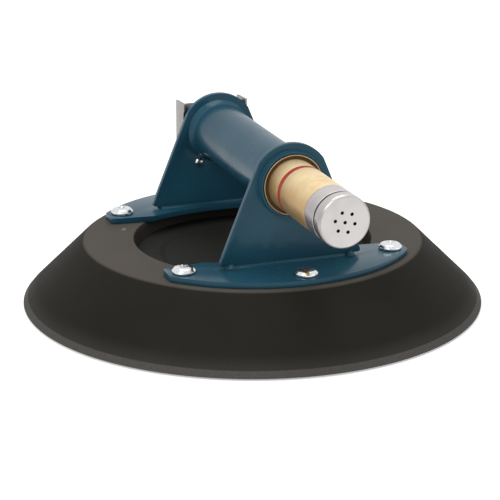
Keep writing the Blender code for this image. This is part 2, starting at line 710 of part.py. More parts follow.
def build_cylinder(pump_line):
    """The brass pump cylinder, whose thin mouth lip sits in the tube's front collar."""
    pocket = MOUTH_RADIUS - MOUTH_WALL
    floor = MOUTH_FACE - MOUTH_DEPTH
    profile = [
        (pocket, MOUTH_FACE), (MOUTH_RADIUS, MOUTH_FACE), (MOUTH_RADIUS, MOUTH_BACK),
        (CYLINDER_RADIUS, MOUTH_BACK), (CYLINDER_RADIUS, CYLINDER_REAR),
        (CYLINDER_BORE, CYLINDER_REAR), (CYLINDER_BORE, floor), (pocket, floor),
    ]
    revolve("pump_cylinder", profile, brass(), TUBE_STEPS).parent = pump_line
    low = floor + SLACK
    ring = bored_disc(PLUNGER_RADIUS + SLACK, pocket - SLACK, low, low + WIPER_LENGTH)
    revolve("wiper_ring", ring, black_rubber(), TUBE_STEPS).parent = pump_line


def build_plunger(plunger_axis):
    """The plunger's brass tube, the red warning line in its groove, and its aluminium collar."""
    red_low = RED_LINE_STATION - RED_LINE_WIDTH / 2
    red_high = RED_LINE_STATION + RED_LINE_WIDTH / 2
    floor = PLUNGER_RADIUS - RED_LINE_DEPTH
    tube = [
        (PLUNGER_BORE, BRASS_END), (PLUNGER_RADIUS, BRASS_END),
        (PLUNGER_RADIUS, red_high), (floor, red_high), (floor, red_low), (PLUNGER_RADIUS, red_low),
        (PLUNGER_RADIUS, PLUNGER_REAR), (PLUNGER_BORE, PLUNGER_REAR),
    ]
    revolve("plunger_tube", tube, brass(), TUBE_STEPS).parent = plunger_axis
    line = bored_disc(floor + SLACK, PLUNGER_RADIUS + RED_LINE_PROUD, red_low + SLACK, red_high - SLACK)
    revolve("red_line_ring", line, red_paint(), TUBE_STEPS).parent = plunger_axis
    bore = CAP_SPIGOT + GAP
    inside = PLUNGER_BORE - GAP
    collar = [
        (bore, COLLAR_END), (PLUNGER_RADIUS - EDGE_ROUND, COLLAR_END),
        (PLUNGER_RADIUS, COLLAR_END - EDGE_ROUND), (PLUNGER_RADIUS, COLLAR_START),
        (inside, COLLAR_START), (inside, COLLAR_START - PISTON_SPIGOT_LENGTH),
        (bore, COLLAR_START - PISTON_SPIGOT_LENGTH),
    ]
    revolve("plunger_collar", collar, aluminium(), TUBE_STEPS).parent = plunger_axis


def build_cap(plunger_axis):
    """The aluminium push cap with its ring of air holes, and the felt filter behind them."""
    rim = PLUNGER_RADIUS + CAP_PROUD
    neck = COLLAR_END + GAP
    neck_radius = PLUNGER_RADIUS - NECK_DEPTH
    profile = [
        (0.0, CAP_FACE), (rim - CAP_CHAMFER, CAP_FACE),
        (rim - 0.4 * CAP_CHAMFER, CAP_FACE - 0.25 * CAP_CHAMFER), (rim, CAP_FACE - 0.8 * CAP_CHAMFER),
        (rim, CAP_BACK), (neck_radius, CAP_BACK), (neck_radius, neck), (CAP_SPIGOT, neck),
        (CAP_SPIGOT, COLLAR_START), (CAP_BORE, COLLAR_START), (CAP_BORE, CAP_FLOOR), (0.0, CAP_FLOOR),
    ]
    cap = revolve("plunger_cap", profile, aluminium(), TUBE_STEPS, closed=False)
    cap.parent = plunger_axis
    spots = [(0.0, 0.0)]
    for k in range(AIR_HOLE_COUNT):
        angle = AIR_HOLE_TURN + k * math.tau / AIR_HOLE_COUNT
        spots.append((AIR_HOLE_CIRCLE * math.cos(angle), AIR_HOLE_CIRCLE * math.sin(angle)))
    for index, (x, rise) in enumerate(spots):
        tool = round_tool(
            f"cap_air_hole_{index}", AIR_HOLE_RADIUS, (x, AXIS_HEIGHT + rise), "y",
            -CAP_FACE - HOLE_END, -CAP_FLOOR + HOLE_END, 8,
        )
        cut(cap, tool)
    felt = solid_disc(CAP_BORE - GAP, COLLAR_START + FILTER_STEP, CAP_FLOOR - GAP)
    revolve("cap_filter", felt, white_felt(), SMALL_STEPS, closed=False).parent = plunger_axis


def build_piston(plunger_axis):
    """The piston in the plunger's inner end, its lip seal and the exhaust valve disc."""
    top = PLUNGER_REAR - GAP
    spigot = PLUNGER_BORE - GAP
    groove_high = top - PISTON_RIM
    groove_low = PISTON_BACK + PISTON_RIM
    groove = PLUNGER_RADIUS - PISTON_GROOVE_DEPTH
    inner_end = PLUNGER_REAR + PISTON_SPIGOT_LENGTH
    profile = [
        (PISTON_PORT_RADIUS, inner_end), (spigot, inner_end), (spigot, top), (PLUNGER_RADIUS, top),
        (PLUNGER_RADIUS, groove_high), (groove, groove_high), (groove, groove_low),
        (PLUNGER_RADIUS, groove_low), (PLUNGER_RADIUS, PISTON_BACK), (PISTON_PORT_RADIUS, PISTON_BACK),
    ]
    revolve("piston", profile, black_plastic(), TUBE_STEPS).parent = plunger_axis
    lip = CYLINDER_BORE - SEAL_LIP_GAP
    low = groove_low + SLACK
    high = groove_high - SLACK
    root = groove + SLACK
    seal = [(root, high), (lip - SEAL_LIP_CUT, high), (lip, low + SLACK), (lip, low), (root, low)]
    revolve("piston_seal", seal, black_rubber(), TUBE_STEPS).parent = plunger_axis
    low = inner_end + GAP
    disc = solid_disc(2 * PISTON_PORT_RADIUS, low, low + VALVE_DISC_THICKNESS)
    revolve("exhaust_valve_disc", disc, black_rubber(), SMALL_STEPS, closed=False).parent = plunger_axis


def sweep(name, rings, material):
    """Skins a row of closed rings of equal length and caps both ends."""
    bm = bmesh.new()
    rows = [[bm.verts.new(point) for point in ring] for ring in rings]
    for first, second in zip(rows, rows[1:]):
        for side, corner in enumerate(first):
            after = (side + 1) % len(first)
            bm.faces.new((corner, second[side], second[after], first[after]))
    bm.faces.new(rows[0])
    bm.faces.new(rows[-1][::-1])
    bmesh.ops.recalc_face_normals(bm, faces=bm.faces)
    return new_object(name, mesh_from(bm, name), material)


def coil(name, radius, wire, low, high, turns, sides, per_turn):
    """Winds a round wire about the object's Z axis, with its end turns closed."""
    rings = []
    closed_turn = 0.9
    rise = 2 * wire
    span = high - low - 2 * wire - 2 * rise
    for k in range(turns * per_turn + 1):
        turn = k / per_turn
        middle = min(max((turn - closed_turn) / (turns - 2 * closed_turn), 0.0), 1.0)
        first = min(turn / closed_turn, 1.0)
        last = max((turn - turns) / closed_turn + 1.0, 0.0)
        height = low + wire + rise * (first + last) + span * middle
        outward = Vector((math.cos(math.tau * turn), math.sin(math.tau * turn), 0.0))
        centre = outward * radius + Vector((0.0, 0.0, height))
        ring = []
        for side in range(sides):
            around = math.tau * side / sides
            spoke = outward * math.cos(around) + Vector((0.0, 0.0, math.sin(around)))
            ring.append(centre + wire * spoke)
        rings.append(ring)
    return sweep(name, rings, stainless())


def build_return_spring(pump_line):
    """The compression spring that pushes the plunger out of the cylinder."""
    low = SPIGOT_FRONT + GAP
    high = PISTON_BACK - GAP
    radius = PLUNGER_RADIUS - SPRING_INSET
    coil("return_spring", radius, SPRING_WIRE, low, high, SPRING_TURNS, 5, 10).parent = pump_line


def block_outline():
    """Returns the valve block's outline in X and Z, with rounded corners."""
    corners = (
        (BLOCK_HALF_WIDTH, BLOCK_BOTTOM, 1, -math.pi / 2), (BLOCK_HALF_WIDTH, BLOCK_TOP, -1, 0.0),
        (-BLOCK_HALF_WIDTH, BLOCK_TOP, -1, math.pi / 2), (-BLOCK_HALF_WIDTH, BLOCK_BOTTOM, 1, math.pi),
    )
    points = []
    for x, z, up, start in corners:
        centre = (x - math.copysign(BLOCK_ROUND, x), z + up * BLOCK_ROUND)
        points += arc(centre, BLOCK_ROUND, start, start + math.pi / 2, 3)
    return points


def build_valve_block():
    """The black valve block: a spigot in the tube, the valve chambers and the outlet stub."""
    block = extrude("valve_block", block_outline(), -BLOCK_FRONT, -BLOCK_REAR, "xz", black_plastic())
    axis = (0.0, AXIS_HEIGHT)
    tool = round_tool(
        "block_spigot", TUBE_BORE - GAP, axis, "y", -SPIGOT_FRONT, -BLOCK_FRONT + HOLE_END, TUBE_STEPS
    )
    join(block, tool)
    outlet = (0.0, -OUTLET_STATION)
    stub_end = BLOCK_BOTTOM - STUB_LENGTH
    join(block, round_tool("block_stub", STUB_RADIUS, outlet, "z", stub_end, BLOCK_BOTTOM + HOLE_END))
    bores = (
        ("chamber", CHAMBER_RADIUS, -CHAMBER_FRONT, -BLOCK_REAR + HOLE_END),
        ("throat", THROAT_RADIUS, -SPIGOT_FRONT - HOLE_END, -CHAMBER_FRONT + HOLE_END),
        ("pocket", CHAMBER_RADIUS, -SPIGOT_FRONT - HOLE_END, -SPIGOT_FRONT + SEAT_POCKET_DEPTH),
    )
    for name, radius, low, high in bores:
        cut(block, round_tool(f"block_{name}", radius, axis, "y", low, high, SMALL_STEPS))
    cut(block, round_tool("block_outlet", OUTLET_RADIUS, outlet, "z", stub_end - HOLE_END, AXIS_HEIGHT))
    pivot = (-PIVOT_STATION, PIVOT_HEIGHT)
    reach = BLOCK_HALF_WIDTH - PIVOT_GRIP - GAP
    screw_z = AXIS_HEIGHT - BLOCK_SCREW_DROP
    for spot, sign in (("left", -1), ("right", 1)):
        low, high = sorted((sign * reach, sign * (BLOCK_HALF_WIDTH + HOLE_END)))
        cut(block, round_tool(f"block_pivot_{spot}", PIVOT_RADIUS + GAP, pivot, "x", low, high))
        tool = round_tool(
            f"block_thread_{spot}", BLOCK_SCREW_RADIUS + GAP, (sign * BLOCK_SCREW_X, screw_z), "y",
            -BLOCK_FRONT - HOLE_END, -BLOCK_FRONT + BLOCK_SCREW_GRIP,
        )
        cut(block, tool)


def build_intake_valve(pump_line):
    """The intake valve in the spigot: a drilled seat and the rubber disc in front of it."""
    radius = CHAMBER_RADIUS - GAP
    front = SPIGOT_FRONT - SEAT_RECESS
    rear = SPIGOT_FRONT - SEAT_POCKET_DEPTH + GAP
    seat = bored_disc(SEAT_PORT_RADIUS, radius, rear, front)
    revolve("intake_valve_seat", seat, brass(), SMALL_STEPS).parent = pump_line
    disc = solid_disc(radius - GAP, front + GAP, front + GAP + VALVE_DISC_THICKNESS)
    revolve("intake_valve_disc", disc, black_rubber(), SMALL_STEPS, closed=False).parent = pump_line


def build_block_screws(pump_line):
    """Two round-head screws through the rear ear into the valve block."""
    face = GAP - EAR_INNER_Y
    length = face - BLOCK_FRONT + BLOCK_SCREW_GRIP - GAP
    for spot, sign in (("left", -1), ("right", 1)):
        screw = domed_screw(
            f"block_screw_{spot}", BLOCK_SCREW_HEAD_RADIUS, BLOCK_SCREW_HEAD_HEIGHT,
            BLOCK_SCREW_RADIUS, length, GAP, zinc_steel(),
        )
        screw.parent = pump_line
        screw.location = (sign * BLOCK_SCREW_X, -BLOCK_SCREW_DROP, face)


def build_release_valve(pump_line, stem_axis):
    """The release valve: its bush in the block, and the sprung stem with its seal."""
    bush = bored_disc(STEM_RADIUS + GAP, CHAMBER_RADIUS - GAP, BUSH_REAR, BUSH_FRONT)
    revolve("release_valve_bush", bush, brass(), SMALL_STEPS).parent = pump_line
    button = STEM_BUTTON_RADIUS
    thick = STEM_BUTTON_LENGTH
    stem = [
        (0.0, STEM_HEAD_FRONT), (STEM_HEAD_RADIUS, STEM_HEAD_FRONT), (STEM_HEAD_RADIUS, STEM_HEAD_REAR),
        (STEM_RADIUS, STEM_HEAD_REAR), (STEM_RADIUS, STEM_END + thick), (button, STEM_END + thick),
        (0.88 * button, STEM_END + 0.55 * thick), (0.55 * button, STEM_END + 0.15 * thick), (0.0, STEM_END),
    ]
    revolve("release_stem", stem, stainless(), FINE_STEPS, closed=False).parent = stem_axis
    seal = bored_disc(STEM_RADIUS + SLACK, STEM_HEAD_RADIUS, STEM_SEAL_REAR, STEM_SEAL_FRONT)
    revolve("stem_seal", seal, black_rubber(), FINE_STEPS).parent = stem_axis
    spring = coil(
        "release_spring", RELEASE_SPRING_RADIUS, RELEASE_SPRING_WIRE, STEM_HEAD_FRONT + GAP,
        CHAMBER_FRONT - GAP, RELEASE_SPRING_TURNS, 4, 10,
    )
    spring.parent = pump_line


def lever_wall_outline():
    """Returns a lever side wall in Y and Z: its top rises to the front, and a tip clears the collar."""
    front = -BLOCK_FRONT
    rear = -WEB_OUTER
    top = AXIS_HEIGHT + LEVER_TOP_ABOVE_AXIS
    tip = top + LEVER_TOP_RISE - LEVER_TIP_HEIGHT
    return [
        (front + LEVER_CORNER, LEVER_BOTTOM), (rear, LEVER_BOTTOM), (rear, top),
        (front, top + LEVER_TOP_RISE), (front, tip), (front + LEVER_RELIEF, tip - LEVER_RELIEF),
        (front + LEVER_RELIEF, PIVOT_HEIGHT - PIVOT_RADIUS),
    ]


def build_release_lever():
    """The stainless release lever: a channel whose walls straddle the valve block."""
    low = AXIS_HEIGHT + SCOOP_ABOVE_AXIS
    half = LEVER_HALF_WIDTH
    reach = math.asin(SCOOP_HALF_WIDTH / SCOOP_RADIUS)
    middle = (0.0, low + SCOOP_RADIUS)
    scoop = arc(middle, SCOOP_RADIUS, -math.pi / 2 + reach, -math.pi / 2 - reach, 10)
    top = scoop[0][1]
    outline = [(half, LEVER_BOTTOM), (half, top)] + scoop + [(-half, top), (-half, LEVER_BOTTOM)]
    lever = extrude("release_lever", outline, -WEB_INNER, -WEB_OUTER, "xz", stainless())
    for spot, sign in (("left", -1), ("right", 1)):
        near, far = sorted((sign * half, sign * (half - LEVER_SHEET)))
        join(lever, extrude(f"lever_wall_{spot}", lever_wall_outline(), near, far, "yz", None))
    pivot = (-PIVOT_STATION, PIVOT_HEIGHT)
    ends = half + HOLE_END
    cut(lever, round_tool("lever_pivot_hole", PIVOT_RADIUS + SLACK, pivot, "x", -ends, ends, SMALL_STEPS))


def build_lever_pivots():
    """Two shouldered pins, one through each lever wall into the block."""
    for spot, sign in (("left", -1), ("right", 1)):
        length = LEVER_SHEET + LEVER_SIDE_GAP + PIVOT_GRIP + GAP
        pin = domed_screw(
            f"lever_pivot_{spot}", PIVOT_HEAD_RADIUS, PIVOT_HEAD_HEIGHT, PIVOT_RADIUS, length, GAP,
            zinc_steel(),
        )
        pin.location = (sign * (LEVER_HALF_WIDTH + GAP), -PIVOT_STATION, PIVOT_HEIGHT)
        pin.rotation_euler = (0.0, sign * math.pi / 2, 0.0)


def build_nipple():
    """The brass hex nipple that leads the air through the rear foot into the cup."""
    seat = FOOT_TOP + GAP
    top = seat + HEX_HEIGHT + STUB_LENGTH
    low = PLATE_BOTTOM - NIPPLE_BELOW_PLATE
    bm = bmesh.new()
    bmesh.ops.create_cone(
        bm, cap_ends=True, segments=6, radius1=HEX_RADIUS, radius2=HEX_RADIUS, depth=HEX_HEIGHT
    )
    nipple = new_object("cup_nipple", mesh_from(bm, "cup_nipple"), brass())
    nipple.location = (0.0, NIPPLE_Y, seat + HEX_HEIGHT / 2)
    nipple.rotation_euler = (0.0, 0.0, math.radians(30))
    centre = (0.0, NIPPLE_Y)
    join(nipple, round_tool("nipple_shank", NIPPLE_SHANK_RADIUS, centre, "z", low, seat + HEX_HEIGHT / 2))
    join(nipple, round_tool("nipple_stub", STUB_RADIUS, centre, "z", seat + HEX_HEIGHT / 2, top))
    cut(nipple, round_tool("nipple_bore", OUTLET_RADIUS, centre, "z", low - HOLE_END, top + HOLE_END, 10))


def build_hose():
    """The short rubber hose that slips over the block's stub and the nipple's stub."""
    start = Vector((0.0, -OUTLET_STATION, BLOCK_BOTTOM - GAP))
    end = Vector((0.0, NIPPLE_Y, FOOT_TOP + 2 * GAP + HEX_HEIGHT))
    bore = STUB_RADIUS + GAP
    length = start.z - end.z
    bend = length - 2 * STUB_LENGTH
    centres = [start]
    for k in range(HOSE_STEPS + 1):
        share = k / HOSE_STEPS
        ease = share * share * (3 - 2 * share)
        y = start.y + (end.y - start.y) * ease
        centres.append(Vector((0.0, y, start.z - STUB_LENGTH - bend * share)))
    centres.append(end)
    skins = []
    for radius in (bore + HOSE_WALL, bore):
        rings = []
        for k, centre in enumerate(centres):
            before = centres[max(k - 1, 0)]
            after = centres[min(k + 1, len(centres) - 1)]
            along = (after - before).normalized() if 0 < k < len(centres) - 1 else Vector((0.0, 0.0, -1.0))
            across = along.cross(Vector((1.0, 0.0, 0.0)))
            angles = [math.tau * side / HOSE_SIDES for side in range(HOSE_SIDES)]
            rings.append([
                centre + radius * (Vector((math.cos(a), 0.0, 0.0)) + math.sin(a) * across) for a in angles
            ])
        skins.append(rings)
    bm = bmesh.new()
    outer, inner = [[[bm.verts.new(point) for point in ring] for ring in rings] for rings in skins]
    loops = outer + inner[::-1] + outer[:1]
    for first, second in zip(loops, loops[1:]):
        for side in range(HOSE_SIDES):
            after = (side + 1) % HOSE_SIDES
            bm.faces.new((first[side], second[side], second[after], first[after]))
    bmesh.ops.recalc_face_normals(bm, faces=bm.faces)
    new_object("air_hose", mesh_from(bm, "air_hose"), black_rubber())


def main():
    """Builds the lifter from the cup upwards."""
    clear_scene()
    forward = (math.pi / 2, 0.0, 0.0)
    pump_line = empty("pump_line", (0.0, 0.0, AXIS_HEIGHT), forward)
    plunger_axis = empty("plunger_axis", (0.0, 0.0, AXIS_HEIGHT), forward)
    stem_axis = empty("stem_axis", (0.0, 0.0, AXIS_HEIGHT), forward)
    build_cup()
    build_plate()
    build_bracket("front", -1)
    drill_rear_ear(build_bracket("rear", 1))
    build_foot_screws()
    build_tube(pump_line)
    build_cylinder(pump_line)
    build_plunger(plunger_axis)
    build_cap(plunger_axis)
    build_piston(plunger_axis)
    build_return_spring(pump_line)
    build_valve_block()
    build_intake_valve(pump_line)
    build_block_screws(pump_line)
    build_release_valve(pump_line, stem_axis)
    build_release_lever()
    build_lever_pivots()
    build_nipple()
    build_hose()


main()
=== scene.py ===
"""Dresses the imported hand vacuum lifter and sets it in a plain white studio.

The lifter is a round rubber cup under a blue steel handle. The handle tube lies along Y: its pump
plunger comes out at -Y, and its release lever stands at +Y. Every length below is in metres.
"""
from __future__ import annotations

import logging
import math
from collections.abc import Callable
from dataclasses import dataclass, field
from enum import Enum

import bmesh
import bpy
from mathutils import Matrix, Vector


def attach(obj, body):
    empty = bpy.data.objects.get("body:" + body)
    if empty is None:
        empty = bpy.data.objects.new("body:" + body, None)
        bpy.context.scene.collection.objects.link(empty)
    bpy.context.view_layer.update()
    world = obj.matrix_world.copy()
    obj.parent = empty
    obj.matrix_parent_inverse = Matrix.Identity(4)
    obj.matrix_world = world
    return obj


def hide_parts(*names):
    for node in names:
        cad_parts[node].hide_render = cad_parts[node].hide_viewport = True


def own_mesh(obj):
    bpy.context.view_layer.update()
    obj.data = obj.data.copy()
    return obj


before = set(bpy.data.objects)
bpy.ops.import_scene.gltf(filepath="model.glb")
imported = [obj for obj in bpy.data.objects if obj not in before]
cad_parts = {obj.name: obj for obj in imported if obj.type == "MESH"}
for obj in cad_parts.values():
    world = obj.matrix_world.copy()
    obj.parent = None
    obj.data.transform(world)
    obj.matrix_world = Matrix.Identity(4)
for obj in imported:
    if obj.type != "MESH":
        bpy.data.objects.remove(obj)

MM = 0.001
GAP = 0.3 * MM
MERGE = 0.002 * MM
OVERLAP = 0.6 * MM
PIXELS = 500

Point = tuple[float, float]
Corner = tuple[float, float, float]
Place = tuple[float, float, float]
Colour = tuple[float, float, float]

log = logging.getLogger("lifter")


class Axis(Enum):
    """The directions that turned and drilled shapes run along."""

    ACROSS = "x"
    FORWARD = "y"
    UP = "z"


class Pattern(Enum):
    """The ways that fine tool marks run over a metal surface."""

    TURNED = "round the handle's axis"
    FACED = "in rings on a face across the handle's axis"
    ROLLED = "straight, along the rolled sheet"
    PLAIN = "in no direction"


@dataclass(frozen=True)
class Layout:
    """Places and sizes that several sub-assemblies share."""

    cup_top: float = 35.0 * MM
    axis_height: float = 81.2 * MM
    foot_thickness: float = 3.0 * MM
    ear_face: float = 58.6 * MM
    ear_thickness: float = 3.1 * MM
    tube_radius: float = 15.9 * MM
    tube_bore: float = 14.9 * MM
    tube_front: float = 61.6 * MM
    tube_rear: float = 60.2 * MM

    @property
    def foot_bottom(self) -> float:
        """The height of a foot's underside."""
        return self.cup_top + GAP

    @property
    def foot_top(self) -> float:
        """The height of a foot's upper side."""
        return self.foot_bottom + self.foot_thickness

    @property
    def ear_inner(self) -> float:
        """How far an ear's inner face lies from the handle's middle."""
        return self.ear_face - self.ear_thickness


LAYOUT = Layout()


class NodeSheet:
    """A small writer for one material's node tree."""

    def __init__(self, name: str) -> None:
        """Starts a material with only its Principled shader.

        Args:
            name: The material's name.
        """
        self.material = bpy.data.materials.new(name)
        self.material.use_nodes = True
        self.tree = self.material.node_tree
        self.shader = self.tree.nodes["Principled BSDF"]
        self.place = self.add("ShaderNodeTexCoord").outputs["Object"]

    def add(self, kind: str) -> bpy.types.Node:
        """Adds one node of a kind and returns it."""
        return self.tree.nodes.new(kind)

    def join(self, start: bpy.types.NodeSocket, end: bpy.types.NodeSocket) -> None:
        """Links one socket to another."""
        self.tree.links.new(start, end)

    def stretch(self, scale: Place, shift: Place = (0.0, 0.0, 0.0)) -> bpy.types.NodeSocket:
        """Scales object coordinates.

        Args:
            scale: The factor along each axis.
            shift: The offset that is added along each axis.

        Returns:
            The scaled coordinates.
        """
        mapping = self.add("ShaderNodeMapping")
        mapping.inputs["Scale"].default_value = scale
        mapping.inputs["Location"].default_value = shift
        self.join(self.place, mapping.inputs["Vector"])
        return mapping.outputs["Vector"]

    def noise(
        self, where: bpy.types.NodeSocket, scale: float, detail: float = 3.0, rough: float = 0.55
    ) -> bpy.types.NodeSocket:
        """Adds fractal noise.

        Args:
            where: The coordinates that it reads.
            scale: How many features lie along a metre.
            detail: How many finer layers are added.
            rough: How strong the finer layers are.

        Returns:
            The noise, about 0.3 to 0.7.
        """
        node = self.add("ShaderNodeTexNoise")
        node.inputs["Scale"].default_value = scale
        node.inputs["Detail"].default_value = detail
        node.inputs["Roughness"].default_value = rough
        self.join(where, node.inputs["Vector"])
        return node.outputs["Fac"]

    def span(
        self, value: bpy.types.NodeSocket, low: float, high: float, out_low: float, out_high: float
    ) -> bpy.types.NodeSocket:
        """Maps a range of values smoothly to another, and holds it beyond both ends.

        Args:
            value: The value that it reads.
            low: The start of the range.
            high: The end of the range.
            out_low: The result at the start.
            out_high: The result at the end.

        Returns:
            The mapped value.
        """
        node = self.add("ShaderNodeMapRange")
        node.interpolation_type = "SMOOTHSTEP"
        node.inputs["From Min"].default_value = low
        node.inputs["From Max"].default_value = high
        node.inputs["To Min"].default_value = out_low
        node.inputs["To Max"].default_value = out_high
        self.join(value, node.inputs["Value"])
        return node.outputs["Result"]

    def math(
        self, operation: str, first: bpy.types.NodeSocket, second: bpy.types.NodeSocket | float
    ) -> bpy.types.NodeSocket:
        """Combines two values.

        Args:
            operation: The math node's operation.
            first: The first value.
            second: The second value, as a socket or a plain number.

        Returns:
            The result.
        """
        node = self.add("ShaderNodeMath")
        node.operation = operation
        self.join(first, node.inputs[0])
        if isinstance(second, float):
            node.inputs[1].default_value = second
        else:
            self.join(second, node.inputs[1])
        return node.outputs["Value"]

    def blend(
        self, share: bpy.types.NodeSocket, first: Colour | bpy.types.NodeSocket, second: Colour
    ) -> bpy.types.NodeSocket:
        """Mixes two colours.

        Args:
            share: How much of the second colour shows.
            first: A colour or a colour socket.
            second: The colour mixed in.

        Returns:
            The mixed colour.
        """
        node = self.add("ShaderNodeMix")
        node.data_type = "RGBA"
        self.join(share, node.inputs["Factor"])
        if isinstance(first, tuple):
            node.inputs[6].default_value = (*first, 1.0)
        else:
            self.join(first, node.inputs[6])
        node.inputs[7].default_value = (*second, 1.0)
        return node.outputs[2]

    def axis_distance(self, centre_z: float) -> bpy.types.NodeSocket:
        """Measures the distance from a line along Y.

        Args:
            centre_z: The line's height.

        Returns:
            The distance.
        """
        flat = self.stretch((1.0, 0.0, 1.0), (0.0, 0.0, -centre_z))
        length = self.add("ShaderNodeVectorMath")
        length.operation = "LENGTH"
        self.join(flat, length.inputs[0])
        return length.outputs["Value"]

    def upward(self) -> bpy.types.NodeSocket:
        """Measures how far the surface faces up.

        Returns:
            The share, from -1 to 1.
        """
        geometry = self.add("ShaderNodeNewGeometry")
        parts = self.add("ShaderNodeSeparateXYZ")
        self.join(geometry.outputs["Normal"], parts.inputs["Vector"])
        return parts.outputs["Z"]

    def height(self) -> bpy.types.NodeSocket:
        """Measures the height above the sealing face.

        Returns:
            The height.
        """
        parts = self.add("ShaderNodeSeparateXYZ")
        self.join(self.place, parts.inputs["Vector"])
        return parts.outputs["Z"]

    def bump(self, height: bpy.types.NodeSocket, distance: float, strength: float = 1.0) -> None:
        """Adds a bump on top of any that the shader already has.

        Args:
            height: The relief that it reads.
            distance: How deep the full relief is.
            strength: How much of it shows.
        """
        node = self.add("ShaderNodeBump")
        node.inputs["Strength"].default_value = strength
        node.inputs["Distance"].default_value = distance
        self.join(height, node.inputs["Height"])
        normal = self.shader.inputs["Normal"]
        if normal.is_linked:
            self.join(normal.links[0].from_socket, node.inputs["Normal"])
        self.join(node.outputs["Normal"], normal)

    def set(self, **values: float) -> None:
        """Sets plain numbers on the shader, by socket name with spaces as underscores."""
        for name, value in values.items():
            self.shader.inputs[name.replace("_", " ")].default_value = value


@dataclass(frozen=True)
class Finish:
    """The base of every finish: a named material that is made once."""

    name: str

    def material(self) -> bpy.types.Material:
        """Makes the finish's material, the first time that it is asked for.

        Returns:
            The material.
        """
        found = bpy.data.materials.get(self.name)
        if found:
            return found
        sheet = NodeSheet(self.name)
        self.draw(sheet)
        return sheet.material

    def draw(self, sheet: NodeSheet) -> None:
        """Lays out the nodes; each finish has its own."""
        raise NotImplementedError


@dataclass(frozen=True)
class Rubber(Finish):
    """Moulded black rubber, lighter on what faces up: partly dust, partly a painted sheen of the light from
    above.
    """

    colour: Colour = (0.0180, 0.0173, 0.0146)
    dust_and_sheen: Colour = (0.117, 0.104, 0.092)
    lip_band: Colour = (0.115, 0.108, 0.102)
    dust_and_sheen_share: float = 0.80
    lip_band_share: float = 0.75
    lip_band_top: float = 4.5 * MM
    fade_top: float = 11.0 * MM
    fade_share: float = 0.30
    mottle_share: float = 0.05
    shine: float = 0.07
    roughness: float = 0.60
    fine_scale: float = 900.0
    broad_scale: float = 28.0
    grain: float = 0.04 * MM
    ripple: float = 0.4 * MM
    refraction: float = 1.3

    def draw(self, sheet: NodeSheet) -> None:
        """Lays out mottled rubber, its dust and painted top sheen, the lighter band at the lip and the fine
        mould texture.

        Args:
            sheet: The material that it writes to.
        """
        fine = sheet.noise(sheet.place, self.fine_scale, 4.0, 0.6)
        broad = sheet.noise(sheet.place, self.broad_scale, 4.0, 0.6)
        mottle = sheet.span(broad, 0.25, 0.8, 0.0, self.mottle_share)
        base = sheet.blend(mottle, self.colour, self.dust_and_sheen)
        # Painted sheen: faces turned up are lightened, partly for dust and partly for the light from above.
        faces_up = sheet.span(sheet.upward(), 0.82, 1.0, 0.0, self.dust_and_sheen_share)
        patchy = sheet.math("MULTIPLY", faces_up, sheet.span(broad, 0.25, 0.75, 0.8, 1.0))
        dusted_and_lit = sheet.blend(patchy, base, self.dust_and_sheen)
        height = sheet.height()
        # A lighter band on the slanted lip, fading out up the cone.
        band = sheet.span(height, self.lip_band_top - 0.5 * MM, self.lip_band_top, self.lip_band_share, 0.0)
        fade = sheet.span(height, self.lip_band_top - MM, self.fade_top, self.fade_share * self.lip_band_share, 0.0)
        low = sheet.math("MAXIMUM", band, fade)
        banded = sheet.math("MULTIPLY", low, sheet.span(fine, 0.2, 0.7, 0.7, 1.0))
        sheet.join(sheet.blend(banded, dusted_and_lit, self.lip_band), sheet.shader.inputs["Base Color"])
        rough = sheet.span(broad, 0.25, 0.75, self.roughness - 0.05, self.roughness + 0.07)
        sheet.join(rough, sheet.shader.inputs["Roughness"])
        sheet.bump(fine, self.grain, 0.3)
        sheet.bump(broad, self.ripple, 0.10)
        sheet.set(Specular_IOR_Level=self.shine, IOR=self.refraction)


@dataclass(frozen=True)
class Enamel(Finish):
    """Glossy dark blue enamel on steel, with a slight orange peel."""

    colour: Colour = (0.0165, 0.082, 0.126)
    shade: Colour = (0.011, 0.053, 0.085)
    speck: Colour = (0.10, 0.15, 0.18)
    roughness: float = 0.27
    shine: float = 0.16
    gloss: float = 0.10
    gloss_roughness: float = 0.05
    broad_scale: float = 35.0
    peel_scale: float = 420.0
    peel_depth: float = 0.05 * MM
    dust_scale: float = 1500.0

    def draw(self, sheet: NodeSheet) -> None:
        """Lays out the paint's drift of colour, its dust specks, its peel and its gloss coat.

        Args:
            sheet: The material that it writes to.
        """
        broad = sheet.noise(sheet.place, self.broad_scale, 3.0, 0.5)
        peel = sheet.noise(sheet.place, self.peel_scale, 2.0, 0.5)
        dust = sheet.noise(sheet.place, self.dust_scale, 1.0, 0.5)
        colour = sheet.blend(sheet.span(broad, 0.2, 0.8, 0.0, 0.8), self.colour, self.shade)
        specks = sheet.span(dust, 0.76, 0.82, 0.0, 0.4)
        sheet.join(sheet.blend(specks, colour, self.speck), sheet.shader.inputs["Base Color"])
        rough = sheet.span(broad, 0.2, 0.8, self.roughness - 0.05, self.roughness + 0.07)
        sheet.join(rough, sheet.shader.inputs["Roughness"])
        sheet.bump(peel, self.peel_depth, 0.08)
        sheet.set(
            Coat_Weight=self.gloss, Coat_Roughness=self.gloss_roughness, Specular_IOR_Level=self.shine
        )


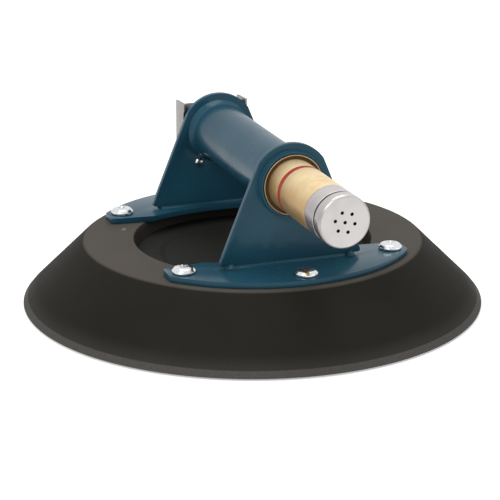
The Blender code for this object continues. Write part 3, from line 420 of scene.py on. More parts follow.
@dataclass(frozen=True)
class Metal(Finish):
    """Bare metal with fine tool marks, tarnished blotches and a painted shade on what faces down."""

    colour: Colour
    tarnish_and_shade: Colour
    roughness: float = 0.28
    pattern: Pattern = Pattern.PLAIN
    mark_depth: float = 0.02 * MM
    mark_share: float = 0.22
    blotch_scale: float = 60.0
    blotch_share: float = 0.55
    metallic: float = 1.0
    painted_shade_below: float = 0.0

    def marks(self, sheet: NodeSheet) -> bpy.types.NodeSocket:
        """Adds the noise of the tool marks, drawn out along the way they run.

        Args:
            sheet: The material that it writes to.

        Returns:
            The noise.
        """
        if self.pattern is Pattern.TURNED:
            return sheet.noise(sheet.stretch((40.0, 3200.0, 40.0)), 1.0, 3.0, 0.7)
        if self.pattern is Pattern.FACED:
            ring = sheet.math("MULTIPLY", sheet.axis_distance(LAYOUT.axis_height), 3000.0)
            spread = sheet.add("ShaderNodeCombineXYZ")
            sheet.join(ring, spread.inputs["X"])
            return sheet.noise(spread.outputs["Vector"], 1.0, 3.0, 0.7)
        if self.pattern is Pattern.ROLLED:
            return sheet.noise(sheet.stretch((2600.0, 2600.0, 50.0)), 1.0, 3.0, 0.7)
        return sheet.noise(sheet.place, 1500.0, 3.0, 0.6)

    def draw(self, sheet: NodeSheet) -> None:
        """Lays out the metal's marks, blotches, painted shade underneath and gloss.

        Args:
            sheet: The material that it writes to.
        """
        marks = self.marks(sheet)
        blotch = sheet.noise(sheet.place, self.blotch_scale, 4.0, 0.6)
        share = sheet.span(blotch, 0.35, 0.75, 0.0, self.blotch_share)
        tone = sheet.blend(share, self.colour, self.tarnish_and_shade)
        streak = sheet.span(marks, 0.3, 0.7, 0.0, self.mark_share)
        toned = sheet.blend(streak, tone, self.tarnish_and_shade)
        # Painted shade: faces turned down are blended towards the darker colour.
        below = sheet.span(sheet.upward(), 0.1, 1.0, self.painted_shade_below, 0.0)
        sheet.join(sheet.blend(below, toned, self.tarnish_and_shade), sheet.shader.inputs["Base Color"])
        rough = sheet.math(
            "ADD", sheet.span(marks, 0.3, 0.7, self.roughness - 0.06, self.roughness + 0.06),
            sheet.span(blotch, 0.35, 0.75, 0.0, 0.10),
        )
        sheet.join(rough, sheet.shader.inputs["Roughness"])
        sheet.bump(marks, self.mark_depth, 0.35)
        sheet.set(Metallic=self.metallic)


@dataclass(frozen=True)
class Plastic(Finish):
    """Moulded plastic with a fine spark-eroded texture."""

    colour: Colour = (0.018, 0.018, 0.020)
    worn: Colour = (0.055, 0.055, 0.058)
    shine: float = 0.40
    roughness: float = 0.42
    texture_scale: float = 1800.0
    texture_depth: float = 0.03 * MM
    wear_scale: float = 70.0

    def draw(self, sheet: NodeSheet) -> None:
        """Lays out the plastic's fine texture and handling marks.

        Args:
            sheet: The material that it writes to.
        """
        texture = sheet.noise(sheet.place, self.texture_scale, 3.0, 0.6)
        marks = sheet.noise(sheet.place, self.wear_scale, 5.0, 0.65)
        worn = sheet.span(marks, 0.5, 0.75, 0.0, 0.5)
        sheet.join(sheet.blend(worn, self.colour, self.worn), sheet.shader.inputs["Base Color"])
        rough = sheet.span(marks, 0.3, 0.7, self.roughness - 0.05, self.roughness + 0.10)
        sheet.join(rough, sheet.shader.inputs["Roughness"])
        sheet.bump(texture, self.texture_depth, 0.3)
        sheet.set(Specular_IOR_Level=self.shine)


@dataclass(frozen=True)
class Felt(Finish):
    """Pressed off-white felt."""

    colour: Colour = (0.60, 0.58, 0.52)
    shade: Colour = (0.33, 0.31, 0.27)
    fibre_scale: float = 2600.0
    fibre_depth: float = 0.15 * MM

    def draw(self, sheet: NodeSheet) -> None:
        """Lays out the felt's fibres.

        Args:
            sheet: The material that it writes to.
        """
        fibres = sheet.noise(sheet.place, self.fibre_scale, 6.0, 0.75)
        sheet.join(
            sheet.blend(sheet.span(fibres, 0.35, 0.65, 0.0, 1.0), self.colour, self.shade),
            sheet.shader.inputs["Base Color"],
        )
        sheet.bump(fibres, self.fibre_depth, 0.6)
        sheet.set(Roughness=0.95, Sheen_Weight=0.3)


RUBBER = Rubber("moulded_rubber")
# Painted light: the recess wall is coloured lighter than the rest of the rubber to lift its shade.
LIT_WALL_RUBBER = Rubber("recess_wall_painted_light", colour=(0.040, 0.038, 0.032), dust_and_sheen_share=0.1, lip_band_share=0.0)
# The nib is coloured paler than the rest of the rubber.
NIB_RUBBER = Rubber("pale_nib", colour=(0.17, 0.16, 0.15), dust_and_sheen=(0.26, 0.245, 0.235))
SEAL_RUBBER = Rubber("seal_rubber", colour=(0.012, 0.012, 0.012), dust_and_sheen_share=0.1, lip_band_share=0.0)
# Painted shade: the wiper is coloured the brown of shaded brass seen deep in the mouth.
WIPER_SHADE = Rubber(
    "wiper_painted_shade", colour=(0.085, 0.052, 0.024), dust_and_sheen=(0.12, 0.08, 0.04), dust_and_sheen_share=0.2, lip_band_share=0.0
)
ENAMEL = Enamel("blue_enamel")
# The brass is bright on top and darker underneath: a painted highlight and a painted shade.
BRASS = Metal(
    "turned_brass", (0.97, 0.79, 0.47), (0.51, 0.32, 0.135), roughness=0.38, pattern=Pattern.TURNED,
    blotch_scale=90.0, blotch_share=0.40, metallic=0.65, painted_shade_below=0.95,
)
MOUTH_BRASS = Metal(
    "mouth_brass", (0.50, 0.40, 0.27), (0.28, 0.19, 0.09), roughness=0.30, pattern=Pattern.TURNED,
    metallic=0.85,
)
MOUTH_SHADE = Metal("mouth_shade", (0.17, 0.10, 0.038), (0.07, 0.04, 0.015), roughness=0.50, metallic=0.5)
NIPPLE_BRASS = Metal("nipple_brass", (0.62, 0.43, 0.20), (0.40, 0.26, 0.11), roughness=0.25)
# The turned aluminium is darker underneath: painted shade.
ALUMINIUM = Metal(
    "turned_aluminium", (0.62, 0.595, 0.585), (0.33, 0.31, 0.31), roughness=0.33, pattern=Pattern.TURNED,
    blotch_share=0.25, painted_shade_below=0.8,
)
CAP_ALUMINIUM = Metal(
    "faced_aluminium", (0.55, 0.53, 0.52), (0.46, 0.44, 0.435), roughness=0.38, pattern=Pattern.FACED
)
GROOVE_SHADE = Metal(
    "groove_shade", (0.022, 0.020, 0.019), (0.010, 0.009, 0.009), roughness=0.65, metallic=0.4
)
STAINLESS = Metal(
    "stainless_sheet", (0.29, 0.277, 0.273), (0.21, 0.198, 0.19), roughness=0.34, pattern=Pattern.ROLLED
)
ZINC = Metal("zinc_plate", (0.78, 0.80, 0.82), (0.55, 0.56, 0.57), roughness=0.14, blotch_scale=160.0)
SPRING_STEEL = Metal("spring_steel", (0.56, 0.55, 0.54), (0.35, 0.34, 0.33), roughness=0.25)
PLATE_COAT = Plastic(
    "plate_coating", colour=(0.0175, 0.0172, 0.0148), worn=(0.024, 0.0233, 0.020), shine=0.10, roughness=0.7
)
BLOCK_PLASTIC = Plastic("block_plastic", shine=0.25)
RED_PLASTIC = Plastic(
    "red_plastic", colour=(0.36, 0.034, 0.024), worn=(0.27, 0.026, 0.020), shine=0.30, roughness=0.42
)
RECESS_GRIME = Plastic("recess_grime", colour=(0.060, 0.034, 0.020), worn=(0.16, 0.11, 0.08), roughness=0.6)
FELT = Felt("pressed_felt")


def arc(centre: Point, radius: float, start: float, end: float, steps: int) -> list[Point]:
    """Walks along an arc.

    Args:
        centre: The arc's centre.
        radius: The arc's radius.
        start: The angle of its first point, in radians.
        end: The angle of its last point.
        steps: How many equal steps it takes.

    Returns:
        The points, both ends included.
    """
    angles = [start + (end - start) * k / steps for k in range(steps + 1)]
    return [(centre[0] + radius * math.cos(a), centre[1] + radius * math.sin(a)) for a in angles]


def eased(corners: list[Corner], steps: int = 5) -> list[Point]:
    """Rounds the corners of an open line.

    Args:
        corners: Each corner as two coordinates and the radius it is rounded to.
        steps: How many steps each rounding takes.

    Returns:
        The line's points.
    """
    side_share = 0.48
    points: list[Point] = []
    for index, (x, y, radius) in enumerate(corners):
        here = Vector((x, y))
        if radius <= 0.0 or index in (0, len(corners) - 1):
            points.append((x, y))
            continue
        before = Vector(corners[index - 1][:2]) - here
        after = Vector(corners[index + 1][:2]) - here
        half = before.angle(after) / 2
        reach = min(radius / math.tan(half), side_share * before.length, side_share * after.length)
        start = here + before.normalized() * reach
        end = here + after.normalized() * reach
        for k in range(steps + 1):
            share = k / steps
            first = start.lerp(here, share)
            second = here.lerp(end, share)
            spot = first.lerp(second, share)
            points.append((spot.x, spot.y))
    return points


class Piece:
    """A mesh under construction, with the few workshop operations that the lifter needs."""

    def __init__(self, name: str, finish: Finish) -> None:
        """Starts an empty piece.

        Args:
            name: The finished object's name.
            finish: Its material.
        """
        self.name = name
        self.finishes = [finish]
        self.bm = bmesh.new()

    def turned(
        self, profile: list[Point], steps: int = 128, axis: Axis = Axis.UP,
        centre: Vector | None = None, closed: bool = True,
    ) -> Piece:
        """Spins a profile of (radius, station) into a round shape.

        Args:
            profile: The points; an open profile starts and ends on the axis.
            steps: How many steps the full turn takes.
            axis: Where the profile's stations run; FORWARD means towards -Y.
            centre: A point on the axis.
            closed: Whether the profile's ends are joined.

        Returns:
            The piece itself.
        """
        work = bmesh.new()
        line = [work.verts.new((radius, 0.0, station)) for radius, station in profile]
        edges = [work.edges.new(pair) for pair in zip(line, line[1:])]
        if closed:
            edges.append(work.edges.new((line[-1], line[0])))
        bmesh.ops.spin(
            work, geom=line + edges, cent=(0.0, 0.0, 0.0), axis=(0.0, 0.0, 1.0), dvec=(0.0, 0.0, 0.0),
            angle=math.tau, steps=steps, use_merge=True, use_duplicate=False,
        )
        bmesh.ops.remove_doubles(work, verts=work.verts, dist=MERGE)
        turn = {
            Axis.UP: Matrix.Identity(4),
            Axis.FORWARD: Matrix.Rotation(math.pi / 2, 4, "X"),
            Axis.ACROSS: Matrix.Rotation(math.pi / 2, 4, "Y"),
        }[axis]
        bmesh.ops.transform(work, verts=work.verts, matrix=Matrix.Translation(centre or Vector()) @ turn)
        return self.take(work)

    def slab(
        self, outline: list[Point], low: float, high: float, across: Axis, soften: float = 0.0,
        segments: int = 3,
    ) -> Piece:
        """Extrudes an outline into a plate with softened edges.

        Args:
            outline: The points, in the two axes that the plate spans, in X, Y, Z order.
            low: The plate's lower face along its thickness.
            high: The plate's upper face.
            across: The axis of its thickness.
            soften: The width of the rounding on its sharp edges.
            segments: How many steps the rounding takes.

        Returns:
            The piece itself.
        """
        spread = {
            Axis.UP: lambda a, b, h: (a, b, h),
            Axis.FORWARD: lambda a, b, h: (a, h, b),
            Axis.ACROSS: lambda a, b, h: (h, a, b),
        }[across]
        work = bmesh.new()
        face = work.faces.new([work.verts.new(spread(a, b, low)) for a, b in outline])
        lifted = bmesh.ops.extrude_face_region(work, geom=[face])
        moved = [item for item in lifted["geom"] if isinstance(item, bmesh.types.BMVert)]
        bmesh.ops.translate(work, verts=moved, vec=spread(0.0, 0.0, high - low))
        bmesh.ops.recalc_face_normals(work, faces=work.faces)
        if soften > 0.0:
            self.soften(work, soften, segments)
        return self.take(work)

    @staticmethod
    def soften(work: bmesh.types.BMesh, width: float, segments: int = 3, angle: float = 0.6) -> None:
        """Rounds every edge of a mesh that is sharper than an angle.

        Args:
            work: The mesh.
            width: The rounding's width.
            segments: How many steps it takes.
            angle: The angle in radians.
        """
        sharp = [e for e in work.edges if len(e.link_faces) == 2 and e.calc_face_angle(0.0) > angle]
        bmesh.ops.bevel(
            work, geom=sharp, offset=width, offset_type="OFFSET", segments=segments, profile=0.5,
            affect="EDGES", material=-1, clamp_overlap=True,
        )

    def take(self, work: bmesh.types.BMesh, finish: Finish | None = None) -> Piece:
        """Adds a finished mesh to the piece.

        Args:
            work: The mesh, which is used up.
            finish: Its own material, if it differs from the piece's.

        Returns:
            The piece itself.
        """
        bmesh.ops.recalc_face_normals(work, faces=work.faces)
        slot = 0
        if finish is not None:
            if finish not in self.finishes:
                self.finishes.append(finish)
            slot = self.finishes.index(finish)
        for face in work.faces:
            face.material_index = slot
        passing = bpy.data.meshes.new("passing")
        work.to_mesh(passing)
        work.free()
        self.bm.from_mesh(passing)
        bpy.data.meshes.remove(passing)
        return self

    def carve(self, tools: list[bmesh.types.BMesh], operation: str = "DIFFERENCE") -> Piece:
        """Cuts tools out of the piece, or joins them to it, as exact solids.

        Args:
            tools: The tool meshes, which are used up.
            operation: DIFFERENCE or UNION.

        Returns:
            The piece itself.
        """
        body = self.as_object("carved_body", self.bm)
        helpers = []
        for index, tool in enumerate(tools):
            helper = self.as_object(f"carving_tool_{index}", tool)
            helpers.append(helper)
            step = body.modifiers.new("carve", "BOOLEAN")
            step.operation = operation
            step.solver = "EXACT"
            step.object = helper
        graph = bpy.context.evaluated_depsgraph_get()
        result = bpy.data.meshes.new_from_object(body.evaluated_get(graph))
        self.bm = bmesh.new()
        self.bm.from_mesh(result)
        bpy.data.meshes.remove(result)
        for thing in [body, *helpers]:
            mesh = thing.data
            bpy.data.objects.remove(thing)
            bpy.data.meshes.remove(mesh)
        return self

    @staticmethod
    def as_object(name: str, work: bmesh.types.BMesh) -> bpy.types.Object:
        """Turns a mesh under construction into a linked object.

        Args:
            name: The object's name.
            work: The mesh, which is used up.

        Returns:
            The object.
        """
        mesh = bpy.data.meshes.new(name)
        work.to_mesh(mesh)
        work.free()
        made = bpy.data.objects.new(name, mesh)
        bpy.context.scene.collection.objects.link(made)
        return made

    def paint(self, finish: Finish, wanted: Callable[[bmesh.types.BMFace], bool]) -> Piece:
        """Gives another finish to some of the faces.

        Args:
            finish: The other finish.
            wanted: The test that picks the faces.

        Returns:
            The piece itself.
        """
        self.finishes.append(finish)
        for face in self.bm.faces:
            if wanted(face):
                face.material_index = len(self.finishes) - 1
        return self

    def done(self, body: str, nodes: tuple[str, ...], slot: str, crease: float = 30.0) -> bpy.types.Object:
        """Makes the piece an object that stands for CAD nodes.

        Args:
            body: The body it rides on.
            nodes: The CAD nodes it replaces.
            slot: The record's material slot; not used.
            crease: The angle in degrees above which an edge stays sharp.

        Returns:
            The finished object.
        """
        made = self.as_object(self.name, self.bm)
        for finish in self.finishes:
            made.data.materials.append(finish.material())
        made.data.shade_smooth()
        made.data.set_sharp_from_angle(angle=math.radians(crease))
        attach(made, body)
        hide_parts(*nodes)
        log.info("%s: %d faces, stands for %s", self.name, len(made.data.polygons), ", ".join(nodes))
        return made


def rod(radius: float, start: Vector, end: Vector, steps: int = 32) -> bmesh.types.BMesh:
    """Makes a round bar between two points.

    Args:
        radius: Its radius.
        start: One end.
        end: The other end.
        steps: How many sides it has.

    Returns:
        The bar's mesh.
    """
    work = bmesh.new()
    along = end - start
    bmesh.ops.create_cone(
        work, cap_ends=True, segments=steps, radius1=radius, radius2=radius, depth=along.length
    )
    turn = along.to_track_quat("Z", "Y").to_matrix().to_4x4()
    bmesh.ops.transform(work, verts=work.verts, matrix=Matrix.Translation((start + end) / 2) @ turn)
    return work


def dress(node: str, finish: Finish) -> None:
    """Gives a CAD node a better material.

    Args:
        node: The node's name.
        finish: The finish that it gets.
    """
    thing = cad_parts[node]
    thing.data.materials.clear()
    thing.data.materials.append(finish.material())
    log.info("%s: dressed in %s", node, finish.name)


@dataclass
class RubberCup:
    """The moulded cup and the steel plate in it."""

    radius: float = 127.0 * MM
    edge_height: float = 0.9 * MM
    lip_radius: float = 124.3 * MM
    lip_height: float = 4.2 * MM
    shoulder_radius: float = 93.2 * MM
    ring_radius: float = 65.3 * MM
    recess_foot_radius: float = 63.8 * MM
    slot_radius: float = 86.3 * MM
    slot_low: float = 23.7 * MM
    slot_high: float = 27.3 * MM
    land_radius: float = 118.0 * MM
    step_radius: float = 114.0 * MM
    step_height: float = 2.6 * MM
    flat_radius: float = 62.0 * MM
    cavity_height: float = 12.0 * MM
    rib_radii: tuple[float, ...] = (90.3 * MM, 72.3 * MM)
    rib_foot_half_width: float = 1.82 * MM
    rib_height: float = 1.6 * MM
    nib: Point = (-63.4 * MM, 34.7 * MM)
    nib_radius: float = 1.7 * MM
    nib_flatness: float = 0.6
    port: Point = (0.0, 69.0 * MM)
    port_radius: float = 2.9 * MM
    steps: int = 256

    def outer_side(self) -> list[Corner]:
        """Lays out the side that shows from above.

        Returns:
            The corners, from the recess to the sealing face.
        """
        top = LAYOUT.cup_top
        return [
            (self.recess_foot_radius, self.slot_high, 0.0),
            (self.ring_radius - 0.6 * MM, top - 2.0 * MM, 3.0 * MM),
            (self.ring_radius, top, 0.9 * MM),
            (self.shoulder_radius, top, 5.0 * MM),
            (self.lip_radius, self.lip_height, 0.6 * MM),
            (self.radius, self.edge_height, 0.35 * MM),
            (self.radius - 4.5 * MM, 0.0, 3.0 * MM),
        ]

    def under_side(self) -> list[Corner]:
        """Lays out the side that faces down.

        Returns:
            The corners, from the sealing land to the axis.
        """
        corners = [(self.land_radius, 0.0, 1.0 * MM), (self.step_radius, self.step_height, 3.0 * MM)]
        foot = self.rib_foot_half_width
        for rib in self.rib_radii:
            for shift, drop in ((foot, 0.0), (0.0, self.rib_height), (-foot, 0.0)):
                radius = rib + shift
                share = (self.step_radius - radius) / (self.step_radius - self.flat_radius)
                ceiling = self.step_height + share * (self.cavity_height - self.step_height)
                corners.append((radius, ceiling - drop, 0.8 * MM))
        corners.append((self.flat_radius, self.cavity_height, 4.0 * MM))
        corners.append((0.0, self.cavity_height, 0.0))
        return corners

    def build(self) -> None:
        """Builds the cup and dresses the plate."""
        profile: list[Point] = [
            (0.0, self.slot_low), (self.slot_radius, self.slot_low), (self.slot_radius, self.slot_high)
        ]
        profile += eased(self.outer_side() + self.under_side(), 6)
        cup = Piece("rubber_cup", RUBBER).turned(profile, self.steps, closed=False)
        low = Vector((*self.port, -2.0 * MM))
        high = Vector((*self.port, LAYOUT.cup_top + 5.0 * MM))
        cup.carve([rod(self.port_radius, low, high)])
        nib = bmesh.new()
        bmesh.ops.create_uvsphere(nib, u_segments=24, v_segments=12, radius=self.nib_radius)
        bmesh.ops.scale(nib, verts=nib.verts, vec=(1.0, 1.0, self.nib_flatness))
        bmesh.ops.translate(nib, verts=nib.verts, vec=(*self.nib, LAYOUT.cup_top - 0.2 * MM))
        cup.take(nib, NIB_RUBBER)
        rim = self.ring_radius + 0.1 * MM
        # Painted light on the recess wall.
        cup.paint(LIT_WALL_RUBBER, lambda face: self.on_recess_wall(face, rim))
        cup.done("base", ("vacuum_cup",), "black_rubber")
        dress("backing_plate", PLATE_COAT)

    def on_recess_wall(self, face: bmesh.types.BMFace, rim: float) -> bool:
        """Tells whether a face stands round the recess, above the plate.

        Args:
            face: The face.
            rim: The radius that it has to be inside.

        Returns:
            Whether it does.
        """
        spot = face.calc_center_median()
        return spot.z > self.slot_high - MM and spot.xy.length < rim and face.normal.z < 0.7


@dataclass
class Bracket:
    """One steel bracket: crescent foot, upright ear, and the fillets between them."""

    end: str
    side: int
    foot_radius: float = 89.0 * MM
    foot_half_width: float = 67.0 * MM
    tab_y: float = 46.6 * MM
    scallop_half_width: float = 43.0 * MM
    scallop_end_y: float = 43.6 * MM
    scallop_middle_y: float = 52.0 * MM
    foot_corner: float = 2.6 * MM
    arc_steps: int = 96
    ear_top_radius: float = 21.65 * MM
    ear_flank_radius: float = 21.2 * MM
    ear_half_width: float = 40.0 * MM
    ear_corner: float = 3.0 * MM
    hole_radius: float = 16.9 * MM
    bend_radius: float = 1.5 * MM
    weld_leg: float = 1.4 * MM
    relief_length: float = 5.2 * MM
    relief_height: float = 1.5 * MM
    dimple_radius: float = 2.6 * MM
    dimple_x: float = 33.4 * MM
    edge: float = 0.55 * MM

    @property
    def reach(self) -> float:
        """The half width of the ear where it meets the foot, between its reliefs."""
        return self.ear_half_width - self.relief_length

    def foot_outline(self) -> list[Point]:
        """Lays out the crescent.

        Returns:
            Its outline in X and Y.
        """
        corner = math.asin((self.foot_half_width - self.foot_corner) / self.foot_radius)
        first, last = math.pi / 2 - corner, math.pi / 2 + corner
        outer = arc((0.0, 0.0), self.foot_radius, first, last, self.arc_steps)
        rise = self.scallop_middle_y - self.scallop_end_y
        radius = (self.scallop_half_width ** 2 + rise ** 2) / (2 * rise)
        reach = math.asin(self.scallop_half_width / radius)
        middle = (0.0, self.scallop_middle_y - radius)
        inner = arc(middle, radius, math.pi / 2 + reach, math.pi / 2 - reach, self.arc_steps // 2)
        tip_y = math.sqrt(self.foot_radius ** 2 - self.foot_half_width ** 2)
        line: list[Corner] = [(x, y, 0.0) for x, y in outer]
        line.append((-self.foot_half_width, tip_y, self.foot_corner))
        line.append((-self.foot_half_width, self.tab_y, self.foot_corner))
        line += [(x, y, 0.0) for x, y in inner]
        line.append((self.foot_half_width, self.tab_y, self.foot_corner))
        line.append((self.foot_half_width, tip_y, self.foot_corner))
        line.append((*outer[0], 0.0))
        rounded = eased(line, 6)[:-1]
        return [(x, self.side * y) for x, y in rounded]

    def ear_outline(self) -> list[Point]:
        """Lays out the ear.

        Its flanks cut a little into its round top, so that they meet at a blunt corner, and its base
        corners are relieved.

        Returns:
            Its outline in X and Z.
        """
        base = LAYOUT.foot_top - OVERLAP
        relief = LAYOUT.foot_top + self.relief_height
        rise = LAYOUT.axis_height - relief
        lean = math.atan2(self.ear_half_width, rise)
        flank = math.hypot(self.ear_half_width, rise)
        cut = math.acos(self.ear_flank_radius / self.ear_top_radius)
        start = -math.pi / 2 + math.acos(self.ear_flank_radius / flank) + lean + cut
        centre = (0.0, LAYOUT.axis_height)
        top = arc(centre, self.ear_top_radius, start, math.pi - start, self.arc_steps)
        line: list[Corner] = [
            (self.reach, base, 0.0), (self.reach, relief, 0.6 * MM),
            (self.ear_half_width, relief, self.ear_corner), (*top[0], 0.0),
        ]
        right = eased(line, 6)[:-1]
        left = [(-x, z) for x, z in reversed(right)]
        return left + right + top

    def fillet_outline(self, face_y: float, away: int, radius: float) -> list[Point]:
        """Lays out a hollow fillet in Y and Z.

        Args:
            face_y: The ear's face that it climbs.
            away: The direction it spreads, along Y.
            radius: Its radius.

        Returns:
            The fillet's outline.
        """
        top = LAYOUT.foot_top
        buried_y, buried_z = face_y - away * OVERLAP, top - OVERLAP
        centre = (face_y + away * radius, top + radius)
        hollow = arc(centre, radius, -math.pi / 2, -math.pi / 2 - away * math.pi / 2, 10)
        return [(buried_y, buried_z), (centre[0], buried_z), *hollow, (buried_y, centre[1])]

    def build(self) -> None:
        """Builds the bracket as one welded and painted solid."""
        outer = self.side * LAYOUT.ear_face
        inner = self.side * LAYOUT.ear_inner
        low, high = sorted((outer, inner))
        bracket = Piece(f"{self.end}_bracket_plate", ENAMEL)
        bracket.slab(self.foot_outline(), LAYOUT.foot_bottom, LAYOUT.foot_top, Axis.UP)
        ear = Piece("ear", ENAMEL).slab(self.ear_outline(), low, high, Axis.FORWARD)
        bend = self.fillet_outline(outer, self.side, self.bend_radius)
        weld = self.fillet_outline(inner, -self.side, self.weld_leg)
        fillets = [
            Piece("fillet", ENAMEL).slab(line, -self.reach, self.reach, Axis.ACROSS).bm
            for line in (bend, weld)
        ]
        bracket.carve([ear.bm, *fillets], "UNION")
        start = Vector((0.0, low - MM, LAYOUT.axis_height))
        end = Vector((0.0, high + MM, LAYOUT.axis_height))
        bracket.carve([rod(self.hole_radius, start, end, self.arc_steps)])
        Piece.soften(bracket.bm, self.edge, 3)
        for sign in (-1, 1):
            dimple = bmesh.new()
            bmesh.ops.create_uvsphere(dimple, u_segments=32, v_segments=16, radius=self.dimple_radius)
            spot = (sign * self.dimple_x, outer + self.side * OVERLAP, LAYOUT.foot_top + 0.2 * MM)
            bmesh.ops.translate(dimple, verts=dimple.verts, vec=spot)
            bracket.take(dimple)
        bracket.done("base", (f"{self.end}_bracket",), "blue_paint", 28.0)


@dataclass
class HandleTube:
    """The handle tube with its welded collars."""

    collar_radius: float = 17.6 * MM
    seat_radius: float = 16.6 * MM
    flange_radius: float = 18.2 * MM
    flange_length: float = 0.7 * MM
    flare_length: float = 5.8 * MM
    flare_power: float = 1.8
    flare_steps: int = 24
    weld: float = 0.5 * MM
    seam: float = 0.02 * MM
    mouth_seat: float = 59.5 * MM
    mouth_bore: float = 16.5 * MM

    def outer_end(self, end: float, bore: float) -> list[Corner]:
        """Lays out one end's outer side.

        Args:
            end: The station of its face.
            bore: The radius of the opening in that face.

        Returns:
            The corners, from the face inwards.
        """
        seat = LAYOUT.ear_inner - self.seam
        face = LAYOUT.ear_face + self.seam
        rim = self.flange_radius
        corners = [
            (bore, end - 0.3 * MM, 0.0), (bore + 0.3 * MM, end, 0.3 * MM),
            (self.collar_radius - 0.1 * MM, end, 0.6 * MM),
            (self.collar_radius + 0.1 * MM, face + 0.7 * MM, 0.7 * MM),
            (self.collar_radius + self.weld, face, 0.0),
            (self.seat_radius, face, 0.0),
            (self.seat_radius, seat, 0.0),
            (rim, seat, 0.0),
            (rim, seat - self.flange_length, 0.35 * MM),
        ]
        drop = rim - LAYOUT.tube_radius
        run = self.flare_length - self.flange_length
        for k in range(1, self.flare_steps + 1):
            share = k / self.flare_steps
            radius = LAYOUT.tube_radius + drop * (1 - share) ** self.flare_power
            corners.append((radius, seat - self.flange_length - run * share, 0.0))
        return corners

    def build(self) -> None:
        """Builds the tube."""
        bore = LAYOUT.tube_bore
        front = eased(self.outer_end(LAYOUT.tube_front, self.mouth_bore), 5)
        rear = [(r, -z) for r, z in reversed(eased(self.outer_end(LAYOUT.tube_rear, bore), 5))]
        inner = [(bore, self.mouth_seat), (self.mouth_bore, self.mouth_seat)]
        centre = Vector((0.0, 0.0, LAYOUT.axis_height))
        tube = Piece("handle_tube", ENAMEL).turned(front + rear + inner, 192, Axis.FORWARD, centre)
        tube.done("base", ("barrel_tube",), "blue_paint")


@dataclass(frozen=True)
class Coil:
    """One round-wire compression spring about the handle's axis, and how it moves."""

    name: str
    node: str
    radius: float
    wire: float
    rear: float
    front: float
    turns: int
    joint: str
    fixed: float
    keep: float
    turn_steps: int = 32
    closed_turn: float = 0.9

    def build(self) -> None:
        """Winds the spring, with a closed turn at each end."""
        curve = bpy.data.curves.new(self.name, "CURVE")
        curve.dimensions = "3D"
        curve.bevel_depth = self.wire
        curve.bevel_resolution = 3
        curve.use_fill_caps = True
        line = curve.splines.new("POLY")
        line.points.add(self.turns * self.turn_steps)
        for k, point in enumerate(line.points):
            turn = k / self.turn_steps
            angle = math.tau * turn
            across = self.radius * math.cos(angle)
            height = LAYOUT.axis_height + self.radius * math.sin(angle)
            point.co = (across, -self.station(turn), height, 1.0)
        holder = bpy.data.objects.new(f"{self.name}_line", curve)
        bpy.context.scene.collection.objects.link(holder)
        graph = bpy.context.evaluated_depsgraph_get()
        mesh = bpy.data.meshes.new_from_object(holder.evaluated_get(graph))
        bpy.data.objects.remove(holder)
        piece = Piece(self.name, SPRING_STEEL)
        piece.bm.from_mesh(mesh)
        bpy.data.meshes.remove(mesh)
        made = piece.done("base", (self.node,), "stainless")
        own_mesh(made)

    def station(self, turn: float) -> float:
        """Finds how far forward the wire lies.

        Args:
            turn: How many turns have been wound.

        Returns:
            The station of the wire's middle.
        """
        closed = self.closed_turn
        ends = 2 * self.wire * (min(turn / closed, 1.0) + max((turn - self.turns) / closed + 1.0, 0.0))
        middle = min(max((turn - closed) / (self.turns - 2 * closed), 0.0), 1.0)
        return self.rear + self.wire + ends + middle * (self.front - self.rear - 6 * self.wire)


